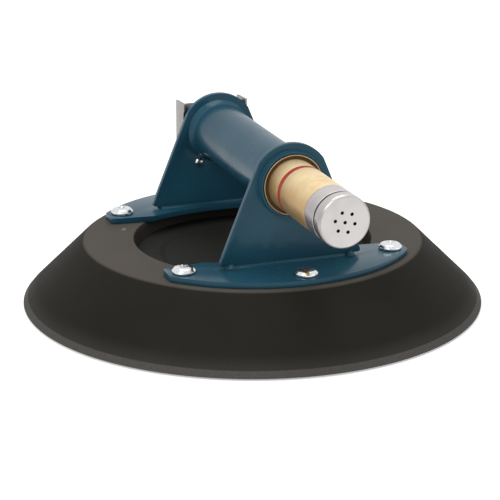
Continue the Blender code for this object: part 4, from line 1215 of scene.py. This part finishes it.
@dataclass
class Pump:
    """The brass cylinder, the plunger and what works inside them."""

    mouth_radius: float = 16.2 * MM
    mouth_wall: float = 0.55 * MM
    mouth_face: float = 61.9 * MM
    mouth_back: float = 59.8 * MM
    mouth_depth: float = 1.2 * MM
    cylinder_radius: float = 14.6 * MM
    cylinder_bore: float = 14.05 * MM
    cylinder_rear: float = -34.0 * MM
    plunger_radius: float = 13.75 * MM
    plunger_bore: float = 12.7 * MM
    plunger_front: float = 48.5 * MM
    brass_end: float = 110.9 * MM
    red_line: float = 75.7 * MM
    red_width: float = 3.7 * MM
    red_depth: float = 0.45 * MM
    collar_end: float = 122.2 * MM
    collar_tail: float = 8.0 * MM
    cap_proud: float = 0.05 * MM
    cap_back: float = 123.9 * MM
    cap_face: float = 130.5 * MM
    cap_floor: float = 128.1 * MM
    cap_edge: tuple[Point, Point, Point] = ((1.1 * MM, 0.0), (0.4 * MM, 0.6 * MM), (0.0, 1.7 * MM))
    cap_spigot: float = 9.7 * MM
    cap_bore: float = 7.9 * MM
    neck_radius: float = 12.5 * MM
    hole_radius: float = 0.92 * MM
    hole_circle: float = 5.3 * MM
    hole_turn: float = math.radians(-12.5)
    centre: Vector = field(default_factory=lambda: Vector((0.0, 0.0, LAYOUT.axis_height)))

    def spun(
        self, name: str, finish: Finish, corners: list[Corner], closed: bool = True, steps: int = 160
    ) -> Piece:
        """Turns a piece about the handle's axis.

        Args:
            name: The piece's name.
            finish: Its finish.
            corners: Its profile, with the rounding of each corner.
            closed: Whether the profile is a closed ring.
            steps: How many steps the turn takes.

        Returns:
            The piece.
        """
        return Piece(name, finish).turned(eased(corners, 4), steps, Axis.FORWARD, self.centre, closed)

    @staticmethod
    def reach(face: bmesh.types.BMFace) -> float:
        """Returns how far a face's farthest corner lies from the handle's axis."""
        return max(math.hypot(v.co.x, v.co.z - LAYOUT.axis_height) for v in face.verts)

    def build_cylinder(self) -> None:
        """Builds the cylinder with its thin mouth, and dresses the wiper."""
        pocket = self.mouth_radius - self.mouth_wall
        floor = self.mouth_face - self.mouth_depth
        corners = [
            (pocket, floor, 0.0), (pocket, self.mouth_face, 0.2 * MM),
            (self.mouth_radius, self.mouth_face, 0.25 * MM), (self.mouth_radius, self.mouth_back, 0.0),
            (self.cylinder_radius, self.mouth_back, 0.0), (self.cylinder_radius, self.cylinder_rear, 0.0),
            (self.cylinder_bore, self.cylinder_rear, 0.0), (self.cylinder_bore, floor, 0.0),
        ]
        cylinder = self.spun("brass_cylinder", MOUTH_BRASS, corners)
        cylinder.paint(MOUTH_SHADE, lambda face: self.reach(face) < pocket + 0.02 * MM)
        cylinder.done("base", ("pump_cylinder",), "brass")
        # The wiper carries painted shade for the dark gap inside the mouth.
        dress("wiper_ring", WIPER_SHADE)

    def build_tube(self) -> None:
        """Builds the plunger's brass tube and its red line."""
        low = self.red_line - self.red_width / 2
        high = self.red_line + self.red_width / 2
        floor = self.plunger_radius - self.red_depth
        radius = self.plunger_radius
        corners = [
            (self.plunger_bore, self.brass_end, 0.0), (radius, self.brass_end, 0.15 * MM),
            (radius, high, 0.1 * MM), (floor, high, 0.0), (floor, low, 0.0), (radius, low, 0.1 * MM),
            (radius, self.plunger_front, 0.2 * MM), (self.plunger_bore, self.plunger_front, 0.0),
        ]
        self.spun("plunger_barrel", BRASS, corners).done("plunger", ("plunger_tube",), "brass")
        slack = 0.15 * MM
        proud = radius + 0.03 * MM
        ring = [
            (floor + slack, high - slack, 0.0), (proud, high - slack, 0.12 * MM),
            (proud, low + slack, 0.12 * MM), (floor + slack, low + slack, 0.0),
        ]
        self.spun("red_line_band", RED_PLASTIC, ring).done("plunger", ("red_line_ring",), "red_paint")

    def build_collar(self) -> None:
        """Builds the aluminium collar in front of the brass."""
        start = self.brass_end + GAP
        tail = start - self.collar_tail
        bore = self.cap_spigot + GAP
        inside = self.plunger_bore - GAP
        corners = [
            (bore, self.collar_end, 0.0), (self.plunger_radius, self.collar_end, 0.35 * MM),
            (self.plunger_radius, start, 0.15 * MM), (inside, start, 0.0),
            (inside, tail, 0.0), (bore, tail, 0.0),
        ]
        collar = self.spun("aluminium_collar", ALUMINIUM, corners)
        rim = self.plunger_radius - 0.3 * MM
        collar.paint(GROOVE_SHADE, lambda face: face.normal.y < -0.9 and self.reach(face) < rim)
        collar.done("plunger", ("plunger_collar",), "aluminium")

    def build_cap(self) -> None:
        """Builds the push cap with its seven drilled air holes, and dresses the filter."""
        rim = self.plunger_radius + self.cap_proud
        neck = self.collar_end + GAP
        start = self.brass_end + GAP
        edge = [
            (rim - inset, self.cap_face - drop, rounding)
            for (inset, drop), rounding in zip(self.cap_edge, (0.25 * MM, 0.5 * MM, 0.7 * MM))
        ]
        corners = [
            (0.0, self.cap_face, 0.0), *edge,
            (rim, self.cap_back, 0.25 * MM), (self.neck_radius, self.cap_back, 0.0),
            (self.neck_radius, neck, 0.0), (self.cap_spigot, neck, 0.0), (self.cap_spigot, start, 0.0),
            (self.cap_bore, start, 0.0), (self.cap_bore, self.cap_floor, 0.0), (0.0, self.cap_floor, 0.0),
        ]
        cap = self.spun("push_cap", CAP_ALUMINIUM, corners, closed=False)
        tools = []
        spots = [(0.0, 0.0)]
        for k in range(6):
            angle = self.hole_turn + k * math.tau / 6
            spots.append((self.hole_circle * math.cos(angle), self.hole_circle * math.sin(angle)))
        for x, rise in spots:
            z = LAYOUT.axis_height + rise
            outside, inside = Vector((x, -self.cap_face - MM, z)), Vector((x, -self.cap_floor + MM, z))
            tools.append(rod(self.hole_radius, outside, inside))
        cap.carve(tools)
        # The cap's turned side takes the collar's finish, with its painted shade underneath.
        cap.paint(ALUMINIUM, lambda face: face.normal.y > -0.93)
        cap.paint(GROOVE_SHADE, self.in_shade)
        cap.done("plunger", ("plunger_cap",), "aluminium")
        dress("cap_filter", FELT)

    def in_shade(self, face: bmesh.types.BMFace) -> bool:
        """Tells whether a face of the cap lies in the groove behind it or in one of its air holes.

        Args:
            face: The face.

        Returns:
            Whether it does.
        """
        behind = face.calc_center_median().y > 0.05 * MM - self.cap_back
        in_hole = self.reach(face) < self.hole_circle + 2 * MM and abs(face.normal.y) < 0.5
        return behind or in_hole

    def build_springs(self) -> None:
        """Winds both springs as fine round coils."""
        Coil(
            "plunger_spring", "return_spring", radius=11.1 * MM, wire=0.75 * MM, rear=self.cylinder_rear,
            front=44.2 * MM, turns=9, joint="plunger_slide", fixed=self.cylinder_rear, keep=0.36,
        ).build()
        Coil(
            "valve_spring", "release_spring", radius=3.8 * MM, wire=0.35 * MM, rear=-61.95 * MM,
            front=-52.3 * MM, turns=5, joint="release_stem_slide", fixed=-52.3 * MM, keep=0.90,
        ).build()

    def build(self) -> None:
        """Builds every piece of the pump."""
        self.build_cylinder()
        self.build_tube()
        self.build_collar()
        self.build_cap()
        self.build_springs()
        dress("piston", BLOCK_PLASTIC)
        for node in ("piston_seal", "exhaust_valve_disc", "intake_valve_disc"):
            dress(node, SEAL_RUBBER)
        dress("intake_valve_seat", NIPPLE_BRASS)


@dataclass
class FootScrews:
    """The six pan-head screws in the feet, with cross recesses."""

    side_spot: Point = (58.28 * MM, 55.30 * MM)
    middle_y: float = 80.3 * MM
    head_radius: float = 6.3 * MM
    head_height: float = 3.2 * MM
    shank_radius: float = 2.4 * MM
    length: float = 15.5 * MM
    tip: float = 0.7 * MM
    recess_reach: float = 2.8 * MM
    recess_width: float = 1.3 * MM
    recess_depth: float = 1.9 * MM
    recess_foot_share: float = 0.45
    recess_mouth_share: float = 1.3

    def head_profile(self) -> list[Point]:
        """Lays out the screw, with its head seated on zero.

        Returns:
            The profile, from the head's top to the shank's tip.
        """
        r = self.head_radius
        h = self.head_height
        corners = [
            (0.0, h, 0.0), (0.46 * r, 0.985 * h, 3.0 * MM), (0.80 * r, 0.80 * h, 2.0 * MM),
            (r, 0.34 * h, 0.5 * MM), (r, 0.0, 0.25 * MM), (self.shank_radius, 0.0, 0.0),
            (self.shank_radius, self.tip - self.length, 0.0),
            (self.shank_radius - self.tip, -self.length, 0.0), (0.0, -self.length, 0.0),
        ]
        return eased(corners, 6)

    def recess(self, turn: float, at: Vector) -> bmesh.types.BMesh:
        """Makes the tapered tool of a cross recess.

        Args:
            turn: The cross's angle.
            at: The centre of the head's top.

        Returns:
            The tool's mesh.
        """
        half = self.recess_width / 2
        outline: list[Point] = []
        for quarter in range(4):
            cos = round(math.cos(quarter * math.pi / 2))
            sin = round(math.sin(quarter * math.pi / 2))
            for a, b in ((half, -half), (self.recess_reach, -half), (self.recess_reach, half)):
                outline.append((a * cos - b * sin, a * sin + b * cos))
        work = Piece("cross", ZINC).slab(outline, -self.recess_depth, self.recess_depth, Axis.UP).bm
        for corner in work.verts:
            share = self.recess_foot_share if corner.co.z < 0.0 else self.recess_mouth_share
            corner.co.x *= share
            corner.co.y *= share
        place = Matrix.Translation(at) @ Matrix.Rotation(turn, 4, "Z")
        bmesh.ops.transform(work, verts=work.verts, matrix=place)
        return work

    def build(self) -> None:
        """Builds the six screws, each with its own turn."""
        seat = LAYOUT.foot_top + GAP
        turns = {
            "front_left": 0.35, "front_centre": 0.75, "front_right": 1.30,
            "rear_left": 0.10, "rear_centre": 0.95, "rear_right": 0.55,
        }
        for name, turn in turns.items():
            end, spot = name.split("_")
            sign = -1 if end == "front" else 1
            across = {"left": -1, "centre": 0, "right": 1}[spot]
            along = self.side_spot[1] if across else self.middle_y
            at = Vector((across * self.side_spot[0], sign * along, seat))
            screw = Piece(f"pan_screw_{name}", ZINC)
            screw.turned(self.head_profile(), 64, centre=at, closed=False)
            screw.carve([self.recess(turn, at + Vector((0.0, 0.0, self.head_height)))])
            if name == "front_centre":
                screw.paint(RECESS_GRIME, lambda face: self.in_recess(face, at))
            screw.done("base", (f"foot_screw_{name}",), "zinc_steel", 32.0)

    def in_recess(self, face: bmesh.types.BMFace, at: Vector) -> bool:
        """Tells whether a face of a screw is a wall or the floor of its recess.

        Args:
            face: The face.
            at: Where the screw is seated.

        Returns:
            Whether it is.
        """
        spot = face.calc_center_median() - at
        flat = math.hypot(spot.x, spot.y)
        low = self.head_height - self.recess_depth - 0.1 * MM
        dome = self.head_height * (1.0 - 0.2 * (flat / self.head_radius) ** 2) - 0.3 * MM
        return flat < self.recess_reach + MM and low < spot.z < dome


@dataclass
class ReleaseGear:
    """The valve block, the release valve's stem and bush, and the lever that works it."""

    block_half_width: float = 17.4 * MM
    block_top: float = 95.1 * MM
    block_bottom: float = 60.0 * MM
    block_front: float = 60.5 * MM
    block_rear: float = 70.0 * MM
    block_corner: float = 2.4 * MM
    spigot_radius: float = 14.6 * MM
    spigot_end: float = 34.3 * MM
    seat_depth: float = 9.0 * MM
    chamber_radius: float = 5.0 * MM
    chamber_end: float = 52.0 * MM
    passage_radius: float = 3.0 * MM
    stub_radius: float = 2.0 * MM
    stub_bore: float = 1.2 * MM
    stub_y: float = 63.0 * MM
    stub_end: float = 56.4 * MM
    lever_half_width: float = 19.0 * MM
    sheet: float = 1.1 * MM
    lever_top: float = 96.3 * MM
    lever_rise: float = 0.8 * MM
    lever_bottom: float = 60.4 * MM
    web_inner: float = 74.1 * MM
    tip_drop: float = 4.7 * MM
    tip_slope: float = 1.2 * MM
    lever_edge: float = 0.28 * MM
    screw_spot: Point = (12.3 * MM, 64.056 * MM)
    screw_radius: float = 1.7 * MM
    screw_hole: float = 2.0 * MM
    screw_hole_depth: float = 3.6 * MM
    screw_length: float = 8.6 * MM
    scoop_low: float = 87.7 * MM
    scoop_radius: float = 30.0 * MM
    scoop_half_width: float = 14.0 * MM
    pivot_y: float = 66.5 * MM
    pivot_z: float = 66.0 * MM
    pin_radius: float = 1.6 * MM
    pin_length: float = 6.2 * MM
    pin_socket: float = 12.8 * MM

    def block_outline(self) -> list[Point]:
        """Lays out the block with its rounded corners.

        Returns:
            Its outline in X and Z.
        """
        points: list[Point] = []
        corners = (
            (1, self.block_bottom, 1, -0.5), (1, self.block_top, -1, 0.0),
            (-1, self.block_top, -1, 0.5), (-1, self.block_bottom, 1, 1.0),
        )
        radius = self.block_corner
        for side, z, up, start in corners:
            centre = (side * (self.block_half_width - radius), z + up * radius)
            points += arc(centre, radius, start * math.pi, (start + 0.5) * math.pi, 10)
        return points

    @staticmethod
    def on_axis(y: float) -> Vector:
        """Returns the point on the handle's axis that lies that far back."""
        return Vector((0.0, y, LAYOUT.axis_height))

    def build_block(self) -> None:
        """Builds the valve block with its chamber, pins' holes and outlet stub."""
        piece = Piece("valve_housing", BLOCK_PLASTIC)
        piece.slab(self.block_outline(), self.block_front, self.block_rear, Axis.FORWARD, 0.6 * MM)
        root = self.on_axis(self.block_front + MM)
        spigot = rod(self.spigot_radius, self.on_axis(self.spigot_end), root, 96)
        stub_low = Vector((0.0, self.stub_y, self.stub_end))
        stub = rod(self.stub_radius, stub_low, Vector((0.0, self.stub_y, self.block_bottom + MM)))
        piece.carve([spigot, stub], "UNION")
        mouth = self.on_axis(self.spigot_end - MM)
        chamber = self.on_axis(self.chamber_end)
        bore_low = stub_low - Vector((0.0, 0.0, 1.4 * MM))
        tools = [
            rod(self.chamber_radius, chamber, self.on_axis(self.block_rear + MM), 64),
            rod(self.passage_radius, mouth, self.on_axis(self.chamber_end + MM), 48),
            rod(self.chamber_radius, mouth, self.on_axis(self.spigot_end + self.seat_depth), 64),
            rod(self.stub_bore, bore_low, Vector((0.0, self.stub_y, LAYOUT.axis_height)), 24),
        ]
        for sign in (-1, 1):
            pin = Vector((sign * self.pin_socket, self.pivot_y, self.pivot_z))
            out = Vector((sign * self.lever_half_width, self.pivot_y, self.pivot_z))
            tools.append(rod(self.pin_radius + GAP, pin, out, 32))
            low = Vector((sign * self.screw_spot[0], self.block_front - MM, self.screw_spot[1]))
            deep = Vector((0.0, self.screw_hole_depth + MM, 0.0))
            tools.append(rod(self.screw_hole, low, low + deep, 32))
        piece.carve(tools)
        piece.done("base", ("valve_block",), "black_plastic")

    def wall_outline(self) -> list[Point]:
        """Lays out a side wall of the lever.

        Returns:
            Its outline in Y and Z.
        """
        front = self.block_front
        rear = self.web_inner + self.sheet
        top = self.lever_top + self.lever_rise
        tip = top - self.tip_drop
        set_back = front + self.tip_slope
        foot = (front + 3.0 * MM, self.lever_bottom, 1.5 * MM)
        middle = ((foot[0] + rear) / 2, self.lever_bottom, 0.0)
        ring = [
            middle, (rear, self.lever_bottom, 0.6 * MM), (rear, self.lever_top, 0.8 * MM),
            (front, top, 0.6 * MM), (front, tip, 0.5 * MM), (set_back, tip - self.tip_slope, 0.8 * MM),
            (set_back, self.pivot_z - 1.6 * MM, 2.0 * MM), foot, middle,
        ]
        return eased(ring, 4)[:-1]

    def build_lever(self) -> None:
        """Builds the lever: a web between two side walls, drilled for its pins."""
        half = self.lever_half_width
        reach = math.asin(self.scoop_half_width / self.scoop_radius)
        middle = (0.0, self.scoop_low + self.scoop_radius)
        scoop = arc(middle, self.scoop_radius, -math.pi / 2 + reach, -math.pi / 2 - reach, 24)
        top = scoop[0][1]
        low = self.lever_bottom
        outline = [(half, low), (half, top), *scoop, (-half, top), (-half, low)]
        lever = Piece("lever_channel", STAINLESS)
        lever.slab(outline, self.web_inner, self.web_inner + self.sheet, Axis.FORWARD)
        walls = []
        for sign in (-1, 1):
            near, far = sorted((sign * half, sign * (half - self.sheet)))
            walls.append(Piece("wall", STAINLESS).slab(self.wall_outline(), near, far, Axis.ACROSS).bm)
        lever.carve(walls, "UNION")
        start = Vector((-half - MM, self.pivot_y, self.pivot_z))
        end = Vector((half + MM, self.pivot_y, self.pivot_z))
        lever.carve([rod(self.pin_radius + GAP / 2, start, end, 40)])
        Piece.soften(lever.bm, self.lever_edge, 3, 0.7)
        lever.done("lever", ("release_lever",), "stainless", 26.0)

    def build_pin(self, spot: str, sign: int) -> None:
        """Builds one of the lever's pins, which lie across the handle.

        Args:
            spot: Its side's name.
            sign: Its side along X.
        """
        shank, end = self.pin_radius, -self.pin_length
        profile = eased([
            (0.0, 1.2 * MM, 0.0), (1.5 * MM, 1.15 * MM, 1.0 * MM), (2.6 * MM, 0.7 * MM, 0.8 * MM),
            (3.0 * MM, 0.0, 0.2 * MM), (shank, 0.0, 0.0), (shank, end, 0.2 * MM), (0.0, end, 0.0),
        ])
        at = Vector((sign * (self.lever_half_width + GAP), self.pivot_y, self.pivot_z))
        pin = Piece(f"pivot_pin_{spot}", ZINC).turned(profile, 48, closed=False)
        turn = Matrix.Translation(at) @ Matrix.Rotation(sign * math.pi / 2, 4, "Y")
        bmesh.ops.transform(pin.bm, verts=pin.bm.verts, matrix=turn)
        pin.done("base", (f"lever_pivot_{spot}",), "zinc_steel")

    def build_screw(self, spot: str, sign: int) -> None:
        """Builds one of the screws that hold the block to the rear ear.

        Args:
            spot: Its side's name.
            sign: Its side along X.
        """
        shank, end = self.screw_radius, -self.screw_length
        profile = eased([
            (0.0, 1.5 * MM, 0.0), (1.2 * MM, 1.42 * MM, 1.0 * MM), (2.1 * MM, 1.0 * MM, 0.8 * MM),
            (2.4 * MM, 0.0, 0.3 * MM), (shank, 0.0, 0.0), (shank, end, 0.2 * MM), (0.0, end, 0.0),
        ])
        seat = Vector((sign * self.screw_spot[0], LAYOUT.ear_inner - GAP, self.screw_spot[1]))
        screw = Piece(f"block_bolt_{spot}", ZINC)
        screw.turned(profile, 48, Axis.FORWARD, seat, closed=False)
        screw.done("base", (f"block_screw_{spot}",), "zinc_steel")

    def build(self) -> None:
        """Builds the release gear."""
        self.build_block()
        self.build_lever()
        for spot, sign in (("left", -1), ("right", 1)):
            self.build_pin(spot, sign)
            self.build_screw(spot, sign)
        dress("release_stem", SPRING_STEEL)
        dress("stem_seal", SEAL_RUBBER)
        dress("release_valve_bush", NIPPLE_BRASS)


@dataclass
class AirLine:
    """The hex nipple in the rear foot and the short hose to the valve block."""

    nipple_y: float = 69.0 * MM
    hex_radius: float = 4.8 * MM
    hex_height: float = 3.6 * MM
    hex_chamfer: float = 0.6 * MM
    stub_radius: float = 2.0 * MM
    stub_length: float = 3.6 * MM
    barb_pitch: float = 1.3 * MM
    barb_rise: float = 0.1 * MM
    barb_depth: float = 0.25 * MM
    shank_radius: float = 2.6 * MM
    shank_end: float = 22.0 * MM
    bore: float = 1.2 * MM

    def build_nipple(self) -> None:
        """Builds the nipple: a chamfered hexagon with a barbed stub above and a shank below."""
        seat = LAYOUT.foot_top + GAP
        top = seat + self.hex_height
        middle = Vector((0.0, self.nipple_y, 0.0))
        nipple = Piece("hex_nipple", NIPPLE_BRASS)
        work = bmesh.new()
        bmesh.ops.create_cone(
            work, cap_ends=True, segments=6, radius1=self.hex_radius, radius2=self.hex_radius,
            depth=self.hex_height,
        )
        turn = Matrix.Translation(middle + Vector((0.0, 0.0, (seat + top) / 2)))
        bmesh.ops.transform(work, verts=work.verts, matrix=turn @ Matrix.Rotation(math.radians(30), 4, "Z"))
        nipple.take(work)
        flat = self.hex_radius - self.hex_chamfer
        outside = self.hex_radius + MM
        lens: list[Point] = [(0.0, top), (flat, top), (outside, top - MM), (outside, seat), (0.0, seat)]
        cutter = Piece("lens", NIPPLE_BRASS).turned(lens, 96, centre=middle, closed=False)
        nipple.carve([cutter.bm], "INTERSECT")
        radius, end = self.stub_radius, top + self.stub_length
        root = radius - self.barb_depth
        first, second = end - self.barb_pitch, end - 2 * self.barb_pitch
        barb = eased([
            (0.0, end, 0.0), (radius - 0.3 * MM, end, 0.2 * MM),
            (radius, first + self.barb_rise, 0.15 * MM), (root, first, 0.0),
            (radius, second + self.barb_rise, 0.15 * MM), (root, second, 0.0), (root, top - 0.5 * MM, 0.0),
            (self.shank_radius, seat + 0.5 * MM, 0.0), (self.shank_radius, self.shank_end, 0.3 * MM),
            (0.0, self.shank_end, 0.0),
        ])
        stem = Piece("barb", NIPPLE_BRASS).turned(barb, 48, centre=middle, closed=False)
        nipple.carve([stem.bm], "UNION")
        low = middle + Vector((0.0, 0.0, self.shank_end - MM))
        nipple.carve([rod(self.bore, low, middle + Vector((0.0, 0.0, end + MM)), 32)])
        nipple.done("base", ("cup_nipple",), "brass")

    def build(self) -> None:
        """Builds the nipple and dresses the hose."""
        dress("air_hose", SEAL_RUBBER)
        self.build_nipple()


@dataclass(frozen=True)
class Lamp:
    """One soft square lamp that faces the lifter."""

    name: str
    place: Place
    width: float
    power: float
    aim: Place = (0.0, 0.0, 50.0 * MM)

    def build(self) -> None:
        """Hangs the lamp."""
        data = bpy.data.lights.new(self.name, "AREA")
        data.shape = "RECTANGLE"
        data.size = self.width
        data.size_y = self.width
        data.energy = self.power
        lamp = bpy.data.objects.new(self.name, data)
        bpy.context.scene.collection.objects.link(lamp)
        lamp.location = self.place
        lamp.rotation_euler = (Vector(self.place) - Vector(self.aim)).to_track_quat("Z", "Y").to_euler()


@dataclass
class Studio:
    """The camera, floor, backdrop and lamps."""

    azimuth: float = math.radians(-20.17)
    elevation: float = math.radians(18.26)
    distance: float = 1113.1 * MM
    target: Vector = field(default_factory=lambda: Vector((-1.42 * MM, 0.0, 26.93 * MM)))
    focal_pixels: float = 2013.35
    sensor: float = 36.0
    clip: Point = (0.05, 20.0)
    floor_reach: float = 6.0
    floor_drop: float = 0.2 * MM
    floor_white: float = 0.93
    floor_glow: float = 0.42
    world_level: float = 0.45
    lamps: tuple[Lamp, ...] = (
        Lamp("key_lamp", (-1.1, -0.9, 1.5), width=0.8, power=13.0),
        Lamp("top_lamp", (0.1, 0.2, 1.6), width=0.9, power=9.0),
        Lamp("fill_lamp", (1.4, -1.0, 0.8), width=0.9, power=3.0),
    )

    def back(self) -> Vector:
        """Finds the way back to the camera.

        Returns:
            The direction from the target to it.
        """
        turn, rise = self.azimuth, self.elevation
        flat = math.cos(rise)
        return Vector((math.sin(turn) * flat, -math.cos(turn) * flat, math.sin(rise)))

    def build_camera(self) -> None:
        """Sets the camera at the photograph's viewing angle."""
        data = bpy.data.cameras.new("studio_camera")
        data.sensor_width = self.sensor
        data.lens = self.focal_pixels * self.sensor / PIXELS
        data.clip_start, data.clip_end = self.clip
        camera = bpy.data.objects.new("studio_camera", data)
        bpy.context.scene.collection.objects.link(camera)
        camera.location = self.target + self.back() * self.distance
        camera.rotation_euler = self.back().to_track_quat("Z", "Y").to_euler()
        bpy.context.scene.camera = camera

    def build_floor(self) -> None:
        """Lays a white floor that goes on to the horizon and keeps the lifter's soft shadow."""
        work = bmesh.new()
        bmesh.ops.create_grid(work, x_segments=2, y_segments=2, size=self.floor_reach)
        bmesh.ops.translate(work, verts=work.verts, vec=(0.0, 0.0, -self.floor_drop))
        floor = Piece.as_object("studio_floor", work)
        material = bpy.data.materials.new("floor_white")
        material.use_nodes = True
        tree = material.node_tree
        shader = tree.nodes["Principled BSDF"]
        shader.inputs["Base Color"].default_value = (*[self.floor_white] * 3, 1.0)
        shader.inputs["Roughness"].default_value = 0.9
        shader.inputs["Specular IOR Level"].default_value = 0.1
        glow = tree.nodes.new("ShaderNodeEmission")
        both = tree.nodes.new("ShaderNodeAddShader")
        seen = self.seen_rays(tree)
        dim = tree.nodes.new("ShaderNodeMath")
        dim.operation = "MULTIPLY"
        dim.inputs[1].default_value = self.floor_glow
        tree.links.new(seen, dim.inputs[0])
        tree.links.new(dim.outputs["Value"], glow.inputs["Strength"])
        tree.links.new(shader.outputs["BSDF"], both.inputs[0])
        tree.links.new(glow.outputs["Emission"], both.inputs[1])
        tree.links.new(both.outputs["Shader"], tree.nodes["Material Output"].inputs["Surface"])
        floor.data.materials.append(material)

    @staticmethod
    def seen_rays(tree: bpy.types.NodeTree) -> bpy.types.NodeSocket:
        """Sorts out the rays that show the background, straight or mirrored.

        Args:
            tree: The node tree that it writes to.

        Returns:
            1 for those rays, and 0 for the rest.
        """
        path = tree.nodes.new("ShaderNodeLightPath")
        total = path.outputs["Is Camera Ray"]
        for name in ("Is Glossy Ray", "Is Transmission Ray"):
            add = tree.nodes.new("ShaderNodeMath")
            add.operation = "MAXIMUM"
            tree.links.new(total, add.inputs[0])
            tree.links.new(path.outputs[name], add.inputs[1])
            total = add.outputs["Value"]
        return total

    def build_world(self) -> None:
        """Sets a white surround that lights softly."""
        world = bpy.data.worlds.new("studio_world")
        bpy.context.scene.world = world
        world.use_nodes = True
        tree = world.node_tree
        ground = tree.nodes["Background"]
        ground.inputs["Color"].default_value = (1.0, 1.0, 1.0, 1.0)
        level = tree.nodes.new("ShaderNodeMapRange")
        level.inputs["To Min"].default_value = self.world_level
        level.inputs["To Max"].default_value = 1.0
        tree.links.new(self.seen_rays(tree), level.inputs["Value"])
        tree.links.new(level.outputs["Result"], ground.inputs["Strength"])

    def build(self) -> None:
        """Builds the whole studio."""
        self.build_camera()
        self.build_floor()
        self.build_world()
        for lamp in self.lamps:
            lamp.build()
        bpy.context.scene.view_settings.view_transform = "Standard"
        log.info("studio: camera, floor, surround and %d lamps", len(self.lamps))


def main() -> None:
    """Builds every sub-assembly in order."""
    logging.basicConfig(level=logging.INFO, format="%(name)s: %(message)s")
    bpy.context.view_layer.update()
    RubberCup().build()
    Bracket("front", -1).build()
    Bracket("rear", 1).build()
    HandleTube().build()
    Pump().build()
    FootScrews().build()
    ReleaseGear().build()
    AirLine().build()
    Studio().build()


if __name__ == "__main__":
    main()
